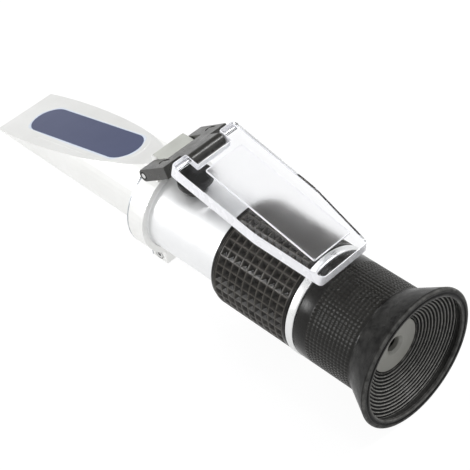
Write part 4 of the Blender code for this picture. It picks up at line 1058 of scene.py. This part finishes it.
# The camera that was fitted to the photograph
CAMERA_PLACE, CAMERA_LENS, CAMERA_SENSOR = (0.240925, -0.182413, 0.306065), 114.9, 36
CAMERA_RIGHT, CAMERA_UP = (0.698646, 0.708097, -0.102430), (-0.447973, 0.544563, 0.709063)


def shown(tree):
    """Socket that is 1 for camera, glossy and transmission rays, 0 for rays that only light."""
    rays = tree.nodes.new("ShaderNodeLightPath").outputs
    value = rays["Is Camera Ray"]
    for kind in ("Is Glossy Ray", "Is Transmission Ray"):
        either = tree.nodes.new("ShaderNodeMath")
        either.operation = "MAXIMUM"
        tree.links.new(value, either.inputs[0])
        tree.links.new(rays[kind], either.inputs[1])
        value = either.outputs["Value"]
    return value


def make_floor():
    """White floor that glows where it is seen, so that only a faint shadow shows on it."""
    mesh = bpy.data.meshes.new("studio_floor")
    shape = bmesh.new()
    rim = arc((0, 0), FLOOR_REACH, 0, math.tau, 64)[:-1]
    shape.faces.new([shape.verts.new((x, y, 0)) for x, y in rim])
    shape.to_mesh(mesh)
    shape.free()
    floor = placed("studio_floor", mesh)
    material = bpy.data.materials.new("studio_white")
    material.use_nodes = True
    tree = material.node_tree
    shader = tree.nodes["Principled BSDF"]
    shader.inputs["Base Color"].default_value = FLOOR_PAINT
    shader.inputs["Roughness"].default_value = 0.9
    shader.inputs["Specular IOR Level"].default_value = 0.0
    glow = tree.nodes.new("ShaderNodeEmission")
    glow.inputs["Color"].default_value = WHITE
    glow.inputs["Strength"].default_value = FLOOR_GLOW
    share = tree.nodes.new("ShaderNodeMath")
    share.operation = "MULTIPLY"
    share.inputs[1].default_value = FLOOR_GLOW_SHARE
    tree.links.new(shown(tree), share.inputs[0])
    blend(tree, share.outputs["Value"], shader.outputs["BSDF"], glow.outputs["Emission"])
    mesh.materials.append(material)


def make_world():
    """White to the camera, softer as a light, one dark patch in reflections and plastic."""
    world = bpy.data.worlds.new("studio")
    bpy.context.scene.world = world
    world.use_nodes = True
    tree = world.node_tree
    fill = tree.nodes["Background"]
    fill.inputs["Color"].default_value = FILL_TONE
    fill.inputs["Strength"].default_value = FILL
    toward = tree.nodes.new("ShaderNodeVectorMath")
    toward.operation = "DOT_PRODUCT"
    toward.inputs[1].default_value = Vector(SHADE_WAY).normalized()
    tree.links.new(tree.nodes.new("ShaderNodeTexCoord").outputs["Generated"], toward.inputs[0])
    shade = tree.nodes.new("ShaderNodeMapRange")
    shade.interpolation_type = "SMOOTHSTEP"
    shade.inputs["From Min"].default_value = SHADE_START
    shade.inputs["From Max"].default_value = SHADE_END
    shade.inputs["To Min"].default_value = 1.0
    shade.inputs["To Max"].default_value = SHADE_LEVEL
    tree.links.new(toward.outputs["Value"], shade.inputs["Value"])
    level = tree.nodes.new("ShaderNodeMix")
    level.data_type = "FLOAT"
    level.inputs["B"].default_value = 1.0
    rays = tree.nodes.new("ShaderNodeLightPath").outputs
    tree.links.new(rays["Is Camera Ray"], level.inputs["Factor"])
    tree.links.new(shade.outputs["Result"], level.inputs["A"])
    seen = tree.nodes.new("ShaderNodeBackground")
    seen.inputs["Color"].default_value = WHITE
    tree.links.new(level.outputs["Result"], seen.inputs["Strength"])
    blend(tree, shown(tree), fill.outputs["Background"], seen.outputs["Background"], "World Output")


def softbox(name, way, distance, side, power):
    """Square lamp that shines on the middle of the tube."""
    data = bpy.data.lights.new(name, "AREA")
    data.shape = "RECTANGLE"
    data.size = data.size_y = side
    data.energy = power
    lamp = placed(name, data)
    aim = Vector(way).normalized()
    lamp.location = Vector((0, 0, AXIS_Z)) + aim * distance
    lamp.rotation_mode = "QUATERNION"
    lamp.rotation_quaternion = aim.to_track_quat("Z", "Y")


def make_camera():
    data = bpy.data.cameras.new("camera")
    data.lens, data.sensor_width = CAMERA_LENS, CAMERA_SENSOR
    data.clip_start, data.clip_end = 0.01, 20
    camera = placed("camera", data)
    right, up = Vector(CAMERA_RIGHT), Vector(CAMERA_UP)
    turn = Matrix((right, up, right.cross(up))).transposed().to_4x4()
    camera.matrix_world = Matrix.Translation(CAMERA_PLACE) @ turn
    bpy.context.scene.camera = camera


make_floor()
make_world()
for name, lamp in LAMPS.items():
    softbox(name, *lamp)
make_camera()

bpy.context.scene.view_settings.view_transform = "Standard"
bpy.context.view_layer.update()
